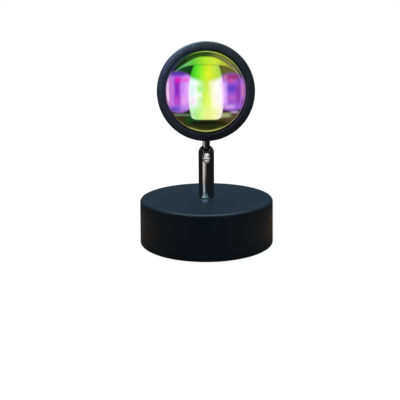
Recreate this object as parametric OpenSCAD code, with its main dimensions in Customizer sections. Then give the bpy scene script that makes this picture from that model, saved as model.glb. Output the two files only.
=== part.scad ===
// Sunset projection lamp: a round weighted base, a short post with a ball and socket in its top, and a
// round head that holds a domed lens, a colour filter and an LED. Millimetres, +Z up. The origin is on the
// surface the lamp stands on, under the post. The lens looks along -Y, and the lead comes in at +Y.

/* [Base] */
// Outside diameter of the base shell at its foot
base_d = 100; // [80:1:130]
// Height of the base shell, from its rim to its flat top
base_h = 33; // [27:1:50]
// How far the wall leans in from the foot to the top
base_draft = 0.8; // [0.1:0.1:1.5]
// Rounding of the top edge
base_edge_r = 2.3; // [1.5:0.1:5]
// Thickness of the shell's wall
shell_wall = 1.4; // [1:0.1:2]
// Thickness of the shell's flat top
shell_top_t = 2; // [1.5:0.1:3]
// Thickness of the cast weight under the top
weight_t = 10; // [6:0.5:12]
// Free space between the weight and the shell's wall
weight_gap = 8; // [5:0.5:14]
// How deep the washer and nut are sunk into the weight
weight_pocket = 3; // [1:0.5:4]
// Thickness of the bottom cover
cover_t = 2; // [1.6:0.1:3]
// How deep the bottom cover sits above the shell's rim
cover_recess = 0.8; // [0.5:0.1:1.5]
// Distance of the cover screws from the axis
cover_screw_reach = 22; // [18:1:26]
// How far the foam foot pad stands below the shell's rim
foot_proud = 0.6; // [0.4:0.1:1.5]

/* [Lead inlet] */
// Height of the lead inlet above the table
gland_z = 11; // [10:0.5:12]
// Diameter of the hole through the grommet, for a 3.6 mm lead
gland_bore_d = 3.8; // [3:0.1:4.6]
// Diameter of the inner lead that runs up to the head
lead_d = 2; // [1.6:0.1:2.2]

/* [Post and ball joint] */
// Outside diameter of the post
post_d = 11.5; // [9.5:0.1:14]
// Height of the ball's centre above the base's top
post_h = 33.5; // [27:0.1:60]
// Wall of the post around the ball
post_wall = 1; // [0.8:0.1:1.2]
// Diameter of the neck between the ball and the head
neck_d = 5.4; // [4.4:0.1:6.6]
// Distance from the ball's centre to the head's underside
neck_reach = 13.2; // [11:0.1:30]
// Side clearance between the neck and the slot
slot_gap = 0.3; // [0.2:0.05:0.4]
// How far the slot runs below the ball
slot_below = 1.35; // [0.5:0.05:2]
// Running clearance between the ball and its socket
ball_gap = 0.1; // [0.05:0.01:0.1]
// Height of the seat that presses on the ball
seat_h = 4; // [3:0.1:5]
// Length of the spring under the seat, as fitted
spring_len = 7.3; // [6:0.1:9]
// Height of the hollow screw that loads the spring
plug_h = 4.4; // [3:0.1:5]

/* [Head] */
// Outside diameter of the head
head_d = 64; // [52:1:80]
// Distance from the neck's axis to the front of the bezel
head_front = 36; // [34:1:50]
// Distance from the neck's axis to the back of the head
head_back = 34; // [32:1:50]
// Width of the bezel's ring face around the lens
ring_face_w = 4.9; // [4.2:0.1:8]
// How far the lens's dome stands out of its flat rim
dome_rise = 13.7; // [6:0.1:18]
// Wall of the housing tube
housing_wall = 3.5; // [3:0.1:4.5]
// Number of cooling fins
fin_count = 5; // [3:1:6]
// Thickness of one fin
fin_t = 2; // [1.9:0.1:2.4]
// Depth of the grooves between the fins
fin_depth = 5.5; // [4:0.1:6.5]

/* [Hidden] */
$fn = 96;

// Clearances and small common sizes
thread_gap = 0.05;   // a screwed fit, radially
slip_gap = 0.2;      // a piece that drops into a bore, radially
seam = 0.2;          // the visible joint line between two turned pieces
eps = 0.01;          // overshoot of a cut past the face that it opens
far = 200;           // longer than any piece

// Heights in the base
base_r = base_d / 2;
rim_z = foot_proud;
base_top = rim_z + base_h;
weight_top = base_top - shell_top_t;
weight_bottom = weight_top - weight_t;
cover_bottom = rim_z + cover_recess;
cover_top = cover_bottom + cover_t;
cover_gap = 0.4;
shell_bore_r = base_r - shell_wall;
cover_r = shell_bore_r - cover_gap;
weight_r = shell_bore_r - base_draft - weight_gap;
foot_margin = 1.4;
foot_r = cover_r - foot_margin;

// Screws that hold the bottom cover to the weight
cover_screw_r = 1.4;
cover_screw_head_r = 2.8;
cover_screw_head_h = 1.8;
cover_screw_bite = 6;
cover_screw_clear = 0.3;
cover_pillar_r = 4.2;
cover_screw_angles = [30, 150, 270];
cover_rib_t = 1.2;
cover_rib_h = 3;
cover_rib_inset = 14;
cover_rib_r = cover_r - cover_rib_inset;

// Post, from the ball's centre down: ball, seat, spring, hollow screw, nipple
post_r = post_d / 2;
post_bore_r = post_r - post_wall;
ball_z = base_top + post_h;
ball_r = post_bore_r - ball_gap;
neck_r = neck_d / 2;
slot_w = neck_d + 2 * slot_gap;
slot_chamfer = 1.2;
seat_lap = 0.65;     // the seat's rim stands this far above the ball's lowest point
seat_top = ball_z - ball_r + seat_lap;
seat_bottom = seat_top - seat_h;
spring_play = 0.05;
plug_top = seat_bottom - spring_len - 2 * spring_play;
plug_bottom = plug_top - plug_h;
nipple_gap = 1.2;
nipple_top = plug_bottom - nipple_gap;
nipple_r = post_bore_r - thread_gap;
nipple_wall = 1.8;
lead_r = lead_d / 2;
lead_way_r = lead_r + 0.5;

// Nut and washer under the weight
washer_t = 1;
nut_h = 4;
nut_wall = 2.3;
nut_flats = 2 * (nipple_r + nut_wall);
washer_r = nut_flats / 2 + 2;
pocket_r = washer_r + 0.8;
washer_top = weight_bottom + weight_pocket;
nut_top = washer_top - washer_t;
nut_bottom = nut_top - nut_h;
nipple_bottom = nut_bottom - 1;

// Grommet in the back wall of the base
grommet_neck_r = gland_bore_d / 2 + 2;
grommet_flange_r = grommet_neck_r + 1.6;
grommet_flange_t = 1.8;
grommet_tail = 1.6;
grommet_seat_gap = 0.02;
grommet_wall_lean = base_draft * grommet_flange_r / base_h;
grommet_wall_sag = shell_bore_r - sqrt(shell_bore_r ^ 2 - grommet_flange_r ^ 2);
gland_wall_y = base_r - base_draft * (gland_z - rim_z) / base_h;

// Head, in its own frame: z is the way the light goes, y is up, and the neck comes in along y
head_r = head_d / 2;
head_z = ball_z + neck_reach + head_r;
bezel_len = 8;
bezel_wall = 1.6;
bezel_lip_t = 2.1;
bezel_back = head_front - bezel_len;
bezel_bore_r = head_r - bezel_wall;
lip_back = head_front - bezel_lip_t;
open_r = head_r - ring_face_w;
spigot_r = bezel_bore_r - thread_gap;
spigot_wall = 1;
front_bore_r = spigot_r - spigot_wall;
bore_r = head_r - housing_wall;
housing_back = -12;

// Lens stack, from the front: gasket, lens, filter, ring, reflector
gasket_t = 0.5;
lens_edge_t = 2.4;
lens_r = front_bore_r - slip_gap;
lens_front = lip_back - gasket_t;
lens_back = lens_front - lens_edge_t;
dome_base_r = open_r - 0.3;
dome_sphere_r = (dome_base_r ^ 2 + dome_rise ^ 2) / (2 * dome_rise);
stack_gap = 0.1;
filter_t = 1.1;
filter_front = lens_back - stack_gap;
filter_back = filter_front - filter_t;
ring_t = 3.7;
ring_front = filter_back - stack_gap;
ring_back = ring_front - ring_t;
spigot_front = lens_front - 0.4;

// LED and reflector
sink_face = housing_back + 6;
pad_t = 0.4;
led_board_t = 1.6;
led_board_front = sink_face + pad_t + led_board_t;
led_base_r = 4.2;
led_base_h = 0.8;
led_dome_r = 3.4;
reflector_t = 0.8;
reflector_flange_t = 0.9;
reflector_neck_r = 5.5;
reflector_mouth_r = bore_r - 2;
reflector_back = led_board_front + stack_gap;
reflector_front = ring_back - stack_gap;
reflector_steps = 14;
led_screw_r = 1.2;
led_screw_head_r = 1.9;
led_screw_head_h = 1.2;
led_screw_bite = 5;
led_screw_reach = reflector_r(led_screw_head_h) + reflector_t + led_screw_head_r + 0.5;
led_board_r = led_screw_reach + led_screw_head_r + 0.5;

// Heat sink, driver board and rear cover
sink_root_r = head_r - fin_depth;
sink_ring_w = 5;
sink_cavity_r = sink_root_r - sink_ring_w;
sink_plate_t = 10;
sink_cavity_front = sink_face - sink_plate_t;
fin_pitch = (head_back + housing_back - fin_t) / (fin_count - 1);
rear_cover_t = 1.8;
rear_cover_r = sink_root_r - 0.3;
rear_screw_reach = sink_cavity_r + 2.1;
rear_screw_r = 1;
rear_screw_head_r = 1.8;
rear_screw_angles = [90, 210, 330];
wire_hole_r = lead_r + 0.6;
wire_hole_reach = sink_cavity_r - wire_hole_r - 0.4;
boss_h = 6;
boss_r = 2.4;
board_t = 1.2;
board_front = sink_cavity_front - boss_h;
board_corner_r = sink_cavity_r - 1.6;
board_half = [board_corner_r * cos(36), board_corner_r * sin(36)];
boss_reach = board_half.x - boss_r - 0.4;
terminal_y = board_half.y - 3;
lead_run_z = sink_cavity_front - 2.6;

// Stud that carries the head, in the head's frame: it enters the housing from below
spot_depth = 0.5;
spot_y = -head_r + spot_depth;
collar_r = 4.2;
collar_t = 1.6;
collar_gap = 0.1;
stud_thread_r = 2.4;
stud_washer_r = 5;
stud_washer_t = 0.8;
stud_washer_y = 0.02 - sqrt(bore_r ^ 2 - stud_washer_r ^ 2);
stud_nut_h = 3;
stud_nut_flats = 8;
stud_nut_y = stud_washer_y + stud_washer_t;
stud_end_y = stud_nut_y + stud_nut_h + 1;

// Spring wire
spring_wire_r = 0.45;
spring_mean_r = post_bore_r - spring_wire_r - 0.35;
spring_turns = 5;
spring_coil_gap = 0.1;
spring_steps = 18;
spring_sides = 8;

// The reflector's inner radius at a height above its neck: a paraboloid
function reflector_r(up) =
    let (length = reflector_front - reflector_back)
    sqrt(reflector_neck_r ^ 2 + (reflector_mouth_r ^ 2 - reflector_neck_r ^ 2) * up / length);

// Height of the spring's wire after a number of turns: the end turns lie closed
function spring_height(turn) =
    let (closed = 2 * spring_wire_r + spring_coil_gap, rise = spring_len - 2 * spring_wire_r)
    turn <= 1 ? closed * turn
    : turn >= spring_turns - 1 ? rise - closed * (spring_turns - turn)
    : closed + (turn - 1) * (rise - 2 * closed) / (spring_turns - 2);

// Puts a piece that is drawn in the head's frame in its place on the lamp
module on_head() {
    translate([0, 0, head_z]) rotate([90, 0, 0]) children();
}

// A ring or disc from one height to another
module ring(outer_r, inner_r, low, high) {
    difference() {
        translate([0, 0, low]) cylinder(r = outer_r, h = high - low);
        if (inner_r > 0) translate([0, 0, low - eps]) cylinder(r = inner_r, h = high - low + 2 * eps);
    }
}

// A hexagon prism, by the distance between its flats
module hexagon(flats, height) {
    cylinder(r = flats / 2 / cos(30), h = height, $fn = 6);
}

// A round bar between two points
module bar(from, to, radius) {
    run = to - from;
    length = norm(run);
    translate(from)
        rotate([0, acos(run.z / length), atan2(run.y, run.x)])
            cylinder(r = radius, h = length);
}

// A quarter turn of round wire at a square corner, entered along way_in and left along way_out
module elbow(corner, way_in, way_out, bend_r, radius) {
    n = cross(way_in, way_out);
    c = corner - way_in * bend_r + way_out * bend_r;
    multmatrix([
        [-way_out.x, way_in.x, n.x, c.x],
        [-way_out.y, way_in.y, n.y, c.y],
        [-way_out.z, way_in.z, n.z, c.z]
    ])
        rotate_extrude(angle = 90) translate([bend_r, 0]) circle(r = radius);
}

// A wire along route's corners, each square and turned at bend_r. The corners are rounded to 0.01 mm, so that
// the stretches and the bends meet exactly.
module wire_run(route, bend_r, radius) {
    points = [for (corner = route) [for (v = corner) round(v * 100) / 100]];
    last = len(points) - 1;
    ways = [for (i = [0 : last - 1]) (points[i + 1] - points[i]) / norm(points[i + 1] - points[i])];
    bar(points[1] - ways[0] * bend_r, points[0], radius);
    for (i = [1 : last - 1])
        bar(points[i] + ways[i] * bend_r, points[i + 1] - ways[i] * (i < last - 1 ? bend_r : 0), radius);
    for (i = [1 : last - 1]) elbow(points[i], ways[i - 1], ways[i], bend_r, radius);
}

// A screw with its head's underside at z = 0, the shank going up and a cross cut in the head
module screw(radius, length, head_r, head_h) {
    difference() {
        union() {
            translate([0, 0, -head_h / 2]) cylinder(r = radius, h = length + head_h / 2);
            translate([0, 0, -head_h]) cylinder(r = head_r, h = head_h);
        }
        for (turn = [0, 90])
            rotate(turn)
                translate([-head_r * 0.6, -head_r * 0.12, -head_h - eps])
                    cube([head_r * 1.2, head_r * 0.24, head_h * 0.6]);
    }
}

// The base's outline for a revolve: a wall that leans in, rounded into a flat top
module base_outline(radius, low, high, lean, edge_r) {
    lean_angle = atan(lean / base_h);
    edge_z = high - edge_r;
    edge_x = radius - lean * (edge_z - low) / base_h - edge_r / cos(lean_angle);
    tangent = [edge_x + edge_r * cos(lean_angle), edge_z + edge_r * sin(lean_angle)];
    polygon([[0, low], [radius, low], tangent, [edge_x, high], [0, high]]);
    translate([edge_x, edge_z]) circle(r = edge_r);
}

// ---- Base ----

module base_shell() {
    color("#20262c")
    difference() {
        rotate_extrude() difference() {
            base_outline(base_r, rim_z, base_top, base_draft, base_edge_r);
            base_outline(shell_bore_r, rim_z - eps, weight_top, base_draft, base_edge_r - shell_wall + 0.6);
        }
        translate([0, 0, weight_top - 1]) cylinder(r = nipple_r + slip_gap, h = shell_top_t + 2);
        translate([0, base_r / 2, gland_z]) rotate([-90, 0, 0]) cylinder(r = grommet_neck_r, h = base_r);
    }
}

module base_weight() {
    chamfer = 1;
    color("#4a4a4c")
    difference() {
        rotate_extrude() polygon([
            [0, weight_bottom], [weight_r - chamfer, weight_bottom], [weight_r, weight_bottom + chamfer],
            [weight_r, weight_top - chamfer], [weight_r - chamfer, weight_top], [0, weight_top]
        ]);
        translate([0, 0, weight_bottom - 1]) cylinder(r = nipple_r + slip_gap, h = weight_t + 2);
        translate([0, 0, weight_bottom - 1]) cylinder(r = pocket_r, h = weight_pocket + 1);
        for (turn = cover_screw_angles)
            rotate(turn) translate([cover_screw_reach, 0, weight_bottom - 1])
                cylinder(r = cover_screw_r + thread_gap, h = cover_screw_bite + 2);
    }
}

module bottom_cover() {
    head_seat = cover_bottom + cover_screw_head_h + 0.4;
    color("#26282b")
    difference() {
        union() {
            ring(cover_r, 0, cover_bottom, cover_top);
            ring(cover_rib_r, cover_rib_r - cover_rib_t, cover_top - eps, cover_top + cover_rib_h);
            for (turn = [0 : 60 : 300])
                rotate(turn + 60)
                    translate([cover_rib_t, -cover_rib_t / 2, cover_top - eps])
                        cube([cover_rib_r - 1.5 * cover_rib_t, cover_rib_t, cover_rib_h]);
            for (turn = cover_screw_angles)
                rotate(turn) translate([cover_screw_reach, 0, cover_top - eps])
                    cylinder(r = cover_pillar_r, h = weight_bottom - cover_top);
        }
        for (turn = cover_screw_angles) rotate(turn) translate([cover_screw_reach, 0, 0]) {
            cylinder(r = cover_screw_r + cover_screw_clear, h = weight_bottom + 1);
            cylinder(r = cover_screw_head_r + cover_screw_clear, h = head_seat);
        }
    }
}

module cover_screws() {
    head_seat = cover_bottom + cover_screw_head_h + 0.4;
    color("#b9bcc0")
    for (turn = cover_screw_angles)
        rotate(turn) translate([cover_screw_reach, 0, head_seat])
            screw(cover_screw_r, weight_bottom + cover_screw_bite - head_seat,
                cover_screw_head_r, cover_screw_head_h);
}

module foot_pad() {
    color("#161718") ring(foot_r, 0, 0, cover_bottom);
}

module lead_grommet() {
    inner_face = gland_wall_y - shell_wall - grommet_flange_t;
    inner_seat = gland_wall_y - shell_wall - grommet_wall_sag - grommet_wall_lean - grommet_seat_gap;
    outer_seat = gland_wall_y + grommet_wall_lean + grommet_seat_gap;
    lip_start = outer_seat + 1.7;
    color("#141414")
    translate([0, 0, gland_z]) rotate([-90, 0, 0])
        rotate_extrude() difference() {
            union() {
                translate([0, inner_face]) square([grommet_flange_r, inner_seat - inner_face]);
                translate([0, inner_face]) square([grommet_neck_r - thread_gap, outer_seat - inner_face + 1]);
                polygon([
                    [0, outer_seat], [grommet_flange_r, outer_seat],
                    [grommet_flange_r, outer_seat + 1], [grommet_flange_r - 0.9, lip_start],
                    [gland_bore_d / 2 + 1, lip_start + grommet_tail], [0, lip_start + grommet_tail]
                ]);
            }
            translate([0, inner_face - 1]) square([gland_bore_d / 2, base_r]);
        }
}

module base_lead() {
    lead_back = gland_wall_y - shell_wall - grommet_flange_t - 0.5;
    lead_end = ball_z - ball_r - 0.3;
    color("#2a2a2a")
    wire_run([[0, lead_back, gland_z], [0, 0, gland_z], [0, 0, lead_end]],
        nipple_bottom - gland_z, lead_r);
}

module lead_tie() {
    tie_y = gland_wall_y - shell_wall - grommet_flange_t - 6;
    color("#d8d8d4")
    translate([0, tie_y, gland_z]) rotate([-90, 0, 0]) {
        ring(lead_r + 0.9, lead_r + thread_gap, 0, 2.4);
        translate([lead_r + 0.7, -1.4, -0.4]) cube([2.6, 2.8, 3.2]);
    }
}

module threaded_nipple() {
    color("#c8b06a") ring(nipple_r, nipple_r - nipple_wall, nipple_bottom, nipple_top);
}

module clamp_washer() {
    color("#b9bcc0") ring(washer_r, nipple_r + slip_gap, nut_top, washer_top);
}

module clamp_nut() {
    color("#b9bcc0")
    difference() {
        translate([0, 0, nut_bottom]) hexagon(nut_flats, nut_h);
        translate([0, 0, nut_bottom - 1]) cylinder(r = nipple_r + thread_gap, h = nut_h + 2);
    }
}

// ---- Post and ball joint ----

module socket_post() {
    slot_bottom = ball_z - ball_r - slot_below;
    top = ball_z + sqrt(post_r ^ 2 - (slot_w / 2 + 0.5) ^ 2);
    color("#30343a")
    difference() {
        rotate_extrude() difference() {
            union() {
                translate([0, base_top]) square([post_r, post_h]);
                intersection() {
                    translate([0, ball_z]) circle(r = post_r);
                    translate([0, base_top]) square([post_r, top - base_top]);
                }
            }
            translate([0, base_top - 1]) square([post_bore_r, post_h + 1]);
            translate([0, ball_z]) circle(r = post_bore_r);
            translate([0, ball_z]) square([slot_w / 2, post_r + 1]);
            translate([-far, 0]) square([far, far]);
        }
        // The slot that lets the neck fold down towards the front, with a countersink round its lower end
        translate([0, 0, slot_bottom + slot_w / 2]) rotate([90, 0, 0]) {
            cylinder(r = slot_w / 2, h = far);
            translate([0, 0, post_r - slot_chamfer])
                cylinder(r1 = slot_w / 2, r2 = slot_w / 2 + 2 * slot_chamfer, h = 2 * slot_chamfer);
        }
        translate([-slot_w / 2, -far, slot_bottom + slot_w / 2]) cube([slot_w, far, far]);
    }
}

module ball_seat() {
    color("#d9d2b8")
    rotate_extrude() difference() {
        translate([lead_way_r, seat_bottom]) square([post_bore_r - 0.1 - lead_way_r, seat_h]);
        translate([0, ball_z]) circle(r = ball_r + ball_gap);
    }
}

module seat_spring() {
    rings = spring_turns * spring_steps;
    mean = spring_mean_r;
    points = [for (i = [0 : rings], j = [0 : spring_sides - 1])
        let (turn = i / spring_steps, angle = 360 * turn, side = 360 * j / spring_sides,
            r = mean + spring_wire_r * cos(side))
        [r * cos(angle), r * sin(angle), spring_height(turn) + spring_wire_r * (1 + sin(side))]];
    walls = [for (i = [0 : rings - 1], j = [0 : spring_sides - 1])
        let (k = (j + 1) % spring_sides, a = i * spring_sides, b = a + spring_sides)
        [a + j, a + k, b + k, b + j]];
    caps = [
        [for (j = [spring_sides - 1 : -1 : 0]) j],
        [for (j = [0 : spring_sides - 1]) rings * spring_sides + j]
    ];
    color("#a8abb0")
    translate([0, 0, plug_top + spring_play]) polyhedron(points, concat(walls, caps));
}

module spring_plug() {
    key_flats = 2 * lead_way_r + 0.9;
    color("#c8b06a")
    difference() {
        ring(post_bore_r - thread_gap, 0, plug_bottom, plug_top);
        translate([0, 0, plug_bottom - 1]) hexagon(key_flats, plug_h + 2);
    }
}

module ball_stud() {
    base = head_z - ball_z;
    collar_top = base + spot_y - collar_gap;
    stud_top = base + stud_end_y;
    color("#c9ccd1")
    translate([0, 0, ball_z]) rotate_extrude() difference() {
        union() {
            intersection() {
                circle(r = ball_r);
                translate([0, -far]) square([far, 2 * far]);
            }
            square([neck_r, collar_top]);
            translate([0, collar_top - collar_t]) square([collar_r, collar_t]);
            square([stud_thread_r, stud_top]);
        }
        translate([0, -far]) square([lead_way_r - 0.2, 2 * far]);
        polygon([[0, -ball_r - eps], [lead_way_r + 1, -ball_r - eps], [0, -ball_r + 3]]);
    }
}

module neck_lead() {
    color("#2a2a2a")
    bar([0, 0, ball_z - ball_r + 1.2], [0, 0, head_z + stud_end_y], lead_r);
}

// ---- Head ----

module head_housing() {
    chamfer = 0.5;
    color("#20262c")
    on_head() difference() {
        rotate_extrude() polygon([
            [bore_r, housing_back], [head_r - chamfer, housing_back], [head_r, housing_back + chamfer],
            [head_r, bezel_back - seam], [spigot_r, bezel_back - seam], [spigot_r, spigot_front],
            [front_bore_r, spigot_front], [front_bore_r, ring_back], [bore_r, ring_back]
        ]);
        // Hole and flat for the stud
        rotate([90, 0, 0]) cylinder(r = stud_thread_r + thread_gap, h = far);
        translate([0, spot_y, 0]) rotate([90, 0, 0]) cylinder(r = collar_r + 0.4, h = far);
    }
}

module stud_washer() {
    color("#b9bcc0")
    on_head() translate([0, stud_washer_y, 0]) rotate([-90, 0, 0])
        ring(stud_washer_r, stud_thread_r + thread_gap, 0, stud_washer_t);
}

module stud_nut() {
    color("#b9bcc0")
    on_head() translate([0, stud_nut_y, 0]) rotate([-90, 0, 0]) difference() {
        hexagon(stud_nut_flats, stud_nut_h);
        translate([0, 0, -1]) cylinder(r = stud_thread_r + thread_gap, h = stud_nut_h + 2);
    }
}

module front_bezel() {
    edge_r = 0.9;
    lip_chamfer = 0.7;
    color("#20262c")
    on_head() rotate_extrude() {
        polygon([
            [bezel_bore_r, bezel_back], [head_r, bezel_back], [head_r, head_front - edge_r],
            [head_r - edge_r, head_front], [open_r + lip_chamfer, head_front],
            [open_r, head_front - lip_chamfer], [open_r, lip_back], [bezel_bore_r, lip_back]
        ]);
        translate([head_r - edge_r, head_front - edge_r]) circle(r = edge_r);
    }
}

module lens_gasket() {
    color("#101010") on_head() ring(lens_r, open_r + 0.3, lens_front, lip_back);
}

module projection_lens() {
    color([0.75, 0.9, 0.6, 0.5])
    on_head() rotate_extrude() {
        translate([0, lens_back]) square([lens_r, lens_edge_t]);
        intersection() {
            translate([0, lens_front + dome_rise - dome_sphere_r]) circle(r = dome_sphere_r);
            translate([0, lens_front - eps]) square([lens_r, dome_rise + 1]);
        }
    }
}

module color_filter() {
    color([0.85, 0.4, 0.8, 0.7]) on_head() ring(lens_r - 0.2, 0, filter_back, filter_front);
}

module filter_ring() {
    color("#17191c") on_head() ring(lens_r, open_r, ring_back, ring_front);
}

module reflector() {
    length = reflector_front - reflector_back;
    inside = [for (i = [0 : reflector_steps]) length * i / reflector_steps];
    outside = [for (up = inside) up * (length - reflector_flange_t) / length];
    color("#d5d8dc")
    on_head() translate([0, 0, reflector_back]) rotate_extrude() polygon(concat(
        [for (up = inside) [reflector_r(up), up]],
        [[bore_r - slip_gap, length], [bore_r - slip_gap, length - reflector_flange_t]],
        [for (i = [reflector_steps : -1 : 0]) [reflector_r(outside[i]) + reflector_t, outside[i]]]
    ));
}

module led_board() {
    color("#e6e6e0")
    on_head() difference() {
        ring(led_board_r, 0, led_board_front - led_board_t, led_board_front);
        for (side = [-1, 1])
            translate([side * led_screw_reach, 0, sink_face]) cylinder(r = led_screw_r + 0.15, h = 5);
    }
}

module led_emitter() {
    color("#e8c83a")
    on_head() translate([0, 0, led_board_front]) rotate_extrude() {
        square([led_base_r, led_base_h]);
        intersection() {
            circle(r = led_dome_r);
            square([led_dome_r, led_dome_r]);
        }
    }
}

module led_screws() {
    color("#b9bcc0")
    on_head() for (side = [-1, 1])
        translate([side * led_screw_reach, 0, led_board_front]) rotate([180, 0, 0])
            screw(led_screw_r, pad_t + led_board_t + led_screw_bite, led_screw_head_r, led_screw_head_h);
}

module led_wires() {
    wire_r = 0.45;
    wire_x = 0.7;
    above = led_board_front + 1.6;
    color("#b03030")
    on_head() for (side = [-1, 1])
        translate([side * wire_x, 0, 0])
            wire_run([
                [0, led_board_r - 1.2, led_board_front], [0, led_board_r - 1.2, above],
                [0, wire_hole_reach, above], [0, wire_hole_reach, lead_run_z], [0, terminal_y, lead_run_z]
            ], 0.8, wire_r);
}

module thermal_pad() {
    color("#8fa0a8")
    on_head() difference() {
        ring(led_board_r - 0.5, 0, sink_face, sink_face + pad_t);
        for (side = [-1, 1])
            translate([side * led_screw_reach, 0, sink_face - 1]) cylinder(r = led_screw_r + 0.3, h = 3);
    }
}

module heat_sink() {
    edge = 0.35;
    fin_backs = [for (i = [0 : fin_count - 1]) housing_back - fin_t - i * fin_pitch];
    color("#20262c")
    on_head() difference() {
        rotate_extrude() {
            translate([0, -head_back]) square([sink_root_r, head_back + housing_back]);
            translate([0, housing_back - eps]) square([bore_r - slip_gap, sink_face - housing_back + eps]);
            for (back = fin_backs) polygon([
                [0, back], [head_r - edge, back], [head_r, back + edge], [head_r, back + fin_t - edge],
                [head_r - edge, back + fin_t], [0, back + fin_t]
            ]);
        }
        difference() {
            translate([0, 0, -head_back - 1])
                cylinder(r = sink_cavity_r, h = head_back + 1 + sink_cavity_front);
            for (side = [-1, 1])
                translate([side * boss_reach, 0, board_front]) cylinder(r = boss_r, h = far);
        }
        translate([0, 0, -head_back - 1]) cylinder(r = rear_cover_r + slip_gap, h = rear_cover_t + 1);
        for (side = [-1, 1]) {
            translate([0, side * wire_hole_reach, -far / 2]) cylinder(r = wire_hole_r, h = far);
            translate([side * led_screw_reach, 0, sink_face - led_screw_bite - 1])
                cylinder(r = led_screw_r + thread_gap, h = far);
            translate([side * boss_reach, 0, board_front - 1])
                cylinder(r = rear_screw_r + thread_gap, h = boss_h);
        }
        for (turn = rear_screw_angles)
            rotate(turn) translate([rear_screw_reach, 0, -head_back])
                cylinder(r = rear_screw_r + thread_gap, h = rear_cover_t + 6);
    }
}

module driver_board() {
    color("#1f6b3a")
    on_head() difference() {
        translate([-board_half.x, -board_half.y, board_front - board_t])
            cube([2 * board_half.x, 2 * board_half.y, board_t]);
        for (side = [-1, 1])
            translate([side * boss_reach, 0, board_front - board_t - 1])
                cylinder(r = rear_screw_r + 0.2, h = board_t + 2);
    }
}

module driver_parts() {
    room = board_front - board_t;
    terminal = [5, 3, lead_run_z - board_front + 1.6];
    color("#2b2b30")
    on_head() {
        // Terminals on the front, where the lead and the LED's wires end
        for (side = [-1, 1])
            translate([-terminal.x / 2, side > 0 ? terminal_y - terminal.y : -terminal_y, board_front])
                cube(terminal);
        // Coil, capacitor and chip on the back
        translate([board_half.x * 0.38, board_half.y * 0.5, room - 3.6]) cylinder(r = 3, h = 3.6);
        translate([-board_half.x * 0.38, board_half.y * 0.5, room - 4.6]) cylinder(r = 2, h = 4.6);
        translate([-2.5, -board_half.y * 0.75, room - 1.5]) cube([5, 4, 1.5]);
    }
}

module driver_screws() {
    color("#b9bcc0")
    on_head() for (side = [-1, 1])
        translate([side * boss_reach, 0, board_front - board_t])
            screw(rear_screw_r, board_t + 4, rear_screw_head_r, 1.2);
}

module head_lead() {
    start_y = stud_end_y + 0.3;
    color("#2a2a2a")
    on_head() wire_run([
        [0, start_y, 0], [0, -wire_hole_reach, 0],
        [0, -wire_hole_reach, lead_run_z], [0, -terminal_y, lead_run_z]
    ], 1.4, lead_r);
}

module rear_cover() {
    vents = 8;
    vent_w = 2;
    vent_in = 9;
    vent_out = sink_cavity_r - 2;
    head_sink = 1;
    color("#20262c")
    on_head() translate([0, 0, -head_back]) difference() {
        linear_extrude(rear_cover_t) difference() {
            circle(r = rear_cover_r);
            for (turn = [0 : 360 / vents : 359]) rotate(turn + 180 / vents) {
                translate([vent_in, -vent_w / 2]) square([vent_out - vent_in, vent_w]);
                translate([vent_in, 0]) circle(r = vent_w / 2);
                translate([vent_out, 0]) circle(r = vent_w / 2);
            }
            for (turn = rear_screw_angles)
                rotate(turn) translate([rear_screw_reach, 0]) circle(r = rear_screw_r + 0.2);
        }
        for (turn = rear_screw_angles)
            rotate(turn) translate([rear_screw_reach, 0, -1])
                cylinder(r = rear_screw_head_r + 0.15, h = head_sink + 1);
    }
}

module rear_screws() {
    color("#b9bcc0")
    on_head() for (turn = rear_screw_angles)
        rotate(turn) translate([rear_screw_reach, 0, -head_back + 1])
            screw(rear_screw_r, 5, rear_screw_head_r, 1);
}

base_shell();
base_weight();
bottom_cover();
cover_screws();
foot_pad();
lead_grommet();
base_lead();
lead_tie();
threaded_nipple();
clamp_washer();
clamp_nut();
socket_post();
ball_seat();
seat_spring();
spring_plug();
ball_stud();
neck_lead();
head_housing();
stud_washer();
stud_nut();
front_bezel();
lens_gasket();
projection_lens();
color_filter();
filter_ring();
reflector();
led_board();
led_emitter();
led_screws();
led_wires();
thermal_pad();
heat_sink();
driver_board();
driver_parts();
driver_screws();
head_lead();
rear_cover();
rear_screws();
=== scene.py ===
"""Sunset projection lamp: a round weighted base, a slotted post with a ball joint, and a round head with a
domed lens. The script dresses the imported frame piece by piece, in the order in which the lamp is put
together."""
import math

import bmesh
import bpy
from mathutils import Matrix, Vector


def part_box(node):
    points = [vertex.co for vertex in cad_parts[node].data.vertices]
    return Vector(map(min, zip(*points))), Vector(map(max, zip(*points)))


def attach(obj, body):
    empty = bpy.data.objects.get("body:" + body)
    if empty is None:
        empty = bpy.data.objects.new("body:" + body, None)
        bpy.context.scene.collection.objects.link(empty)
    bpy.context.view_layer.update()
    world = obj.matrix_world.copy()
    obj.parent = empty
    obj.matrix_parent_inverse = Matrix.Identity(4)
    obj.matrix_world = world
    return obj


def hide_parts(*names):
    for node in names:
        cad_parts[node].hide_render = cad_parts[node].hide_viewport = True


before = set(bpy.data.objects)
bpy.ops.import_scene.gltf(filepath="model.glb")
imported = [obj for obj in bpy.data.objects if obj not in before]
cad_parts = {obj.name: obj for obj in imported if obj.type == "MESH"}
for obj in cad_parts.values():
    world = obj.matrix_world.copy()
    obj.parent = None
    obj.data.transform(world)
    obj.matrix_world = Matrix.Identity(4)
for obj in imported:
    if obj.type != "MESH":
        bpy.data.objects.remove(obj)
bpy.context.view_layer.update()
mm = 0.001

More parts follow.
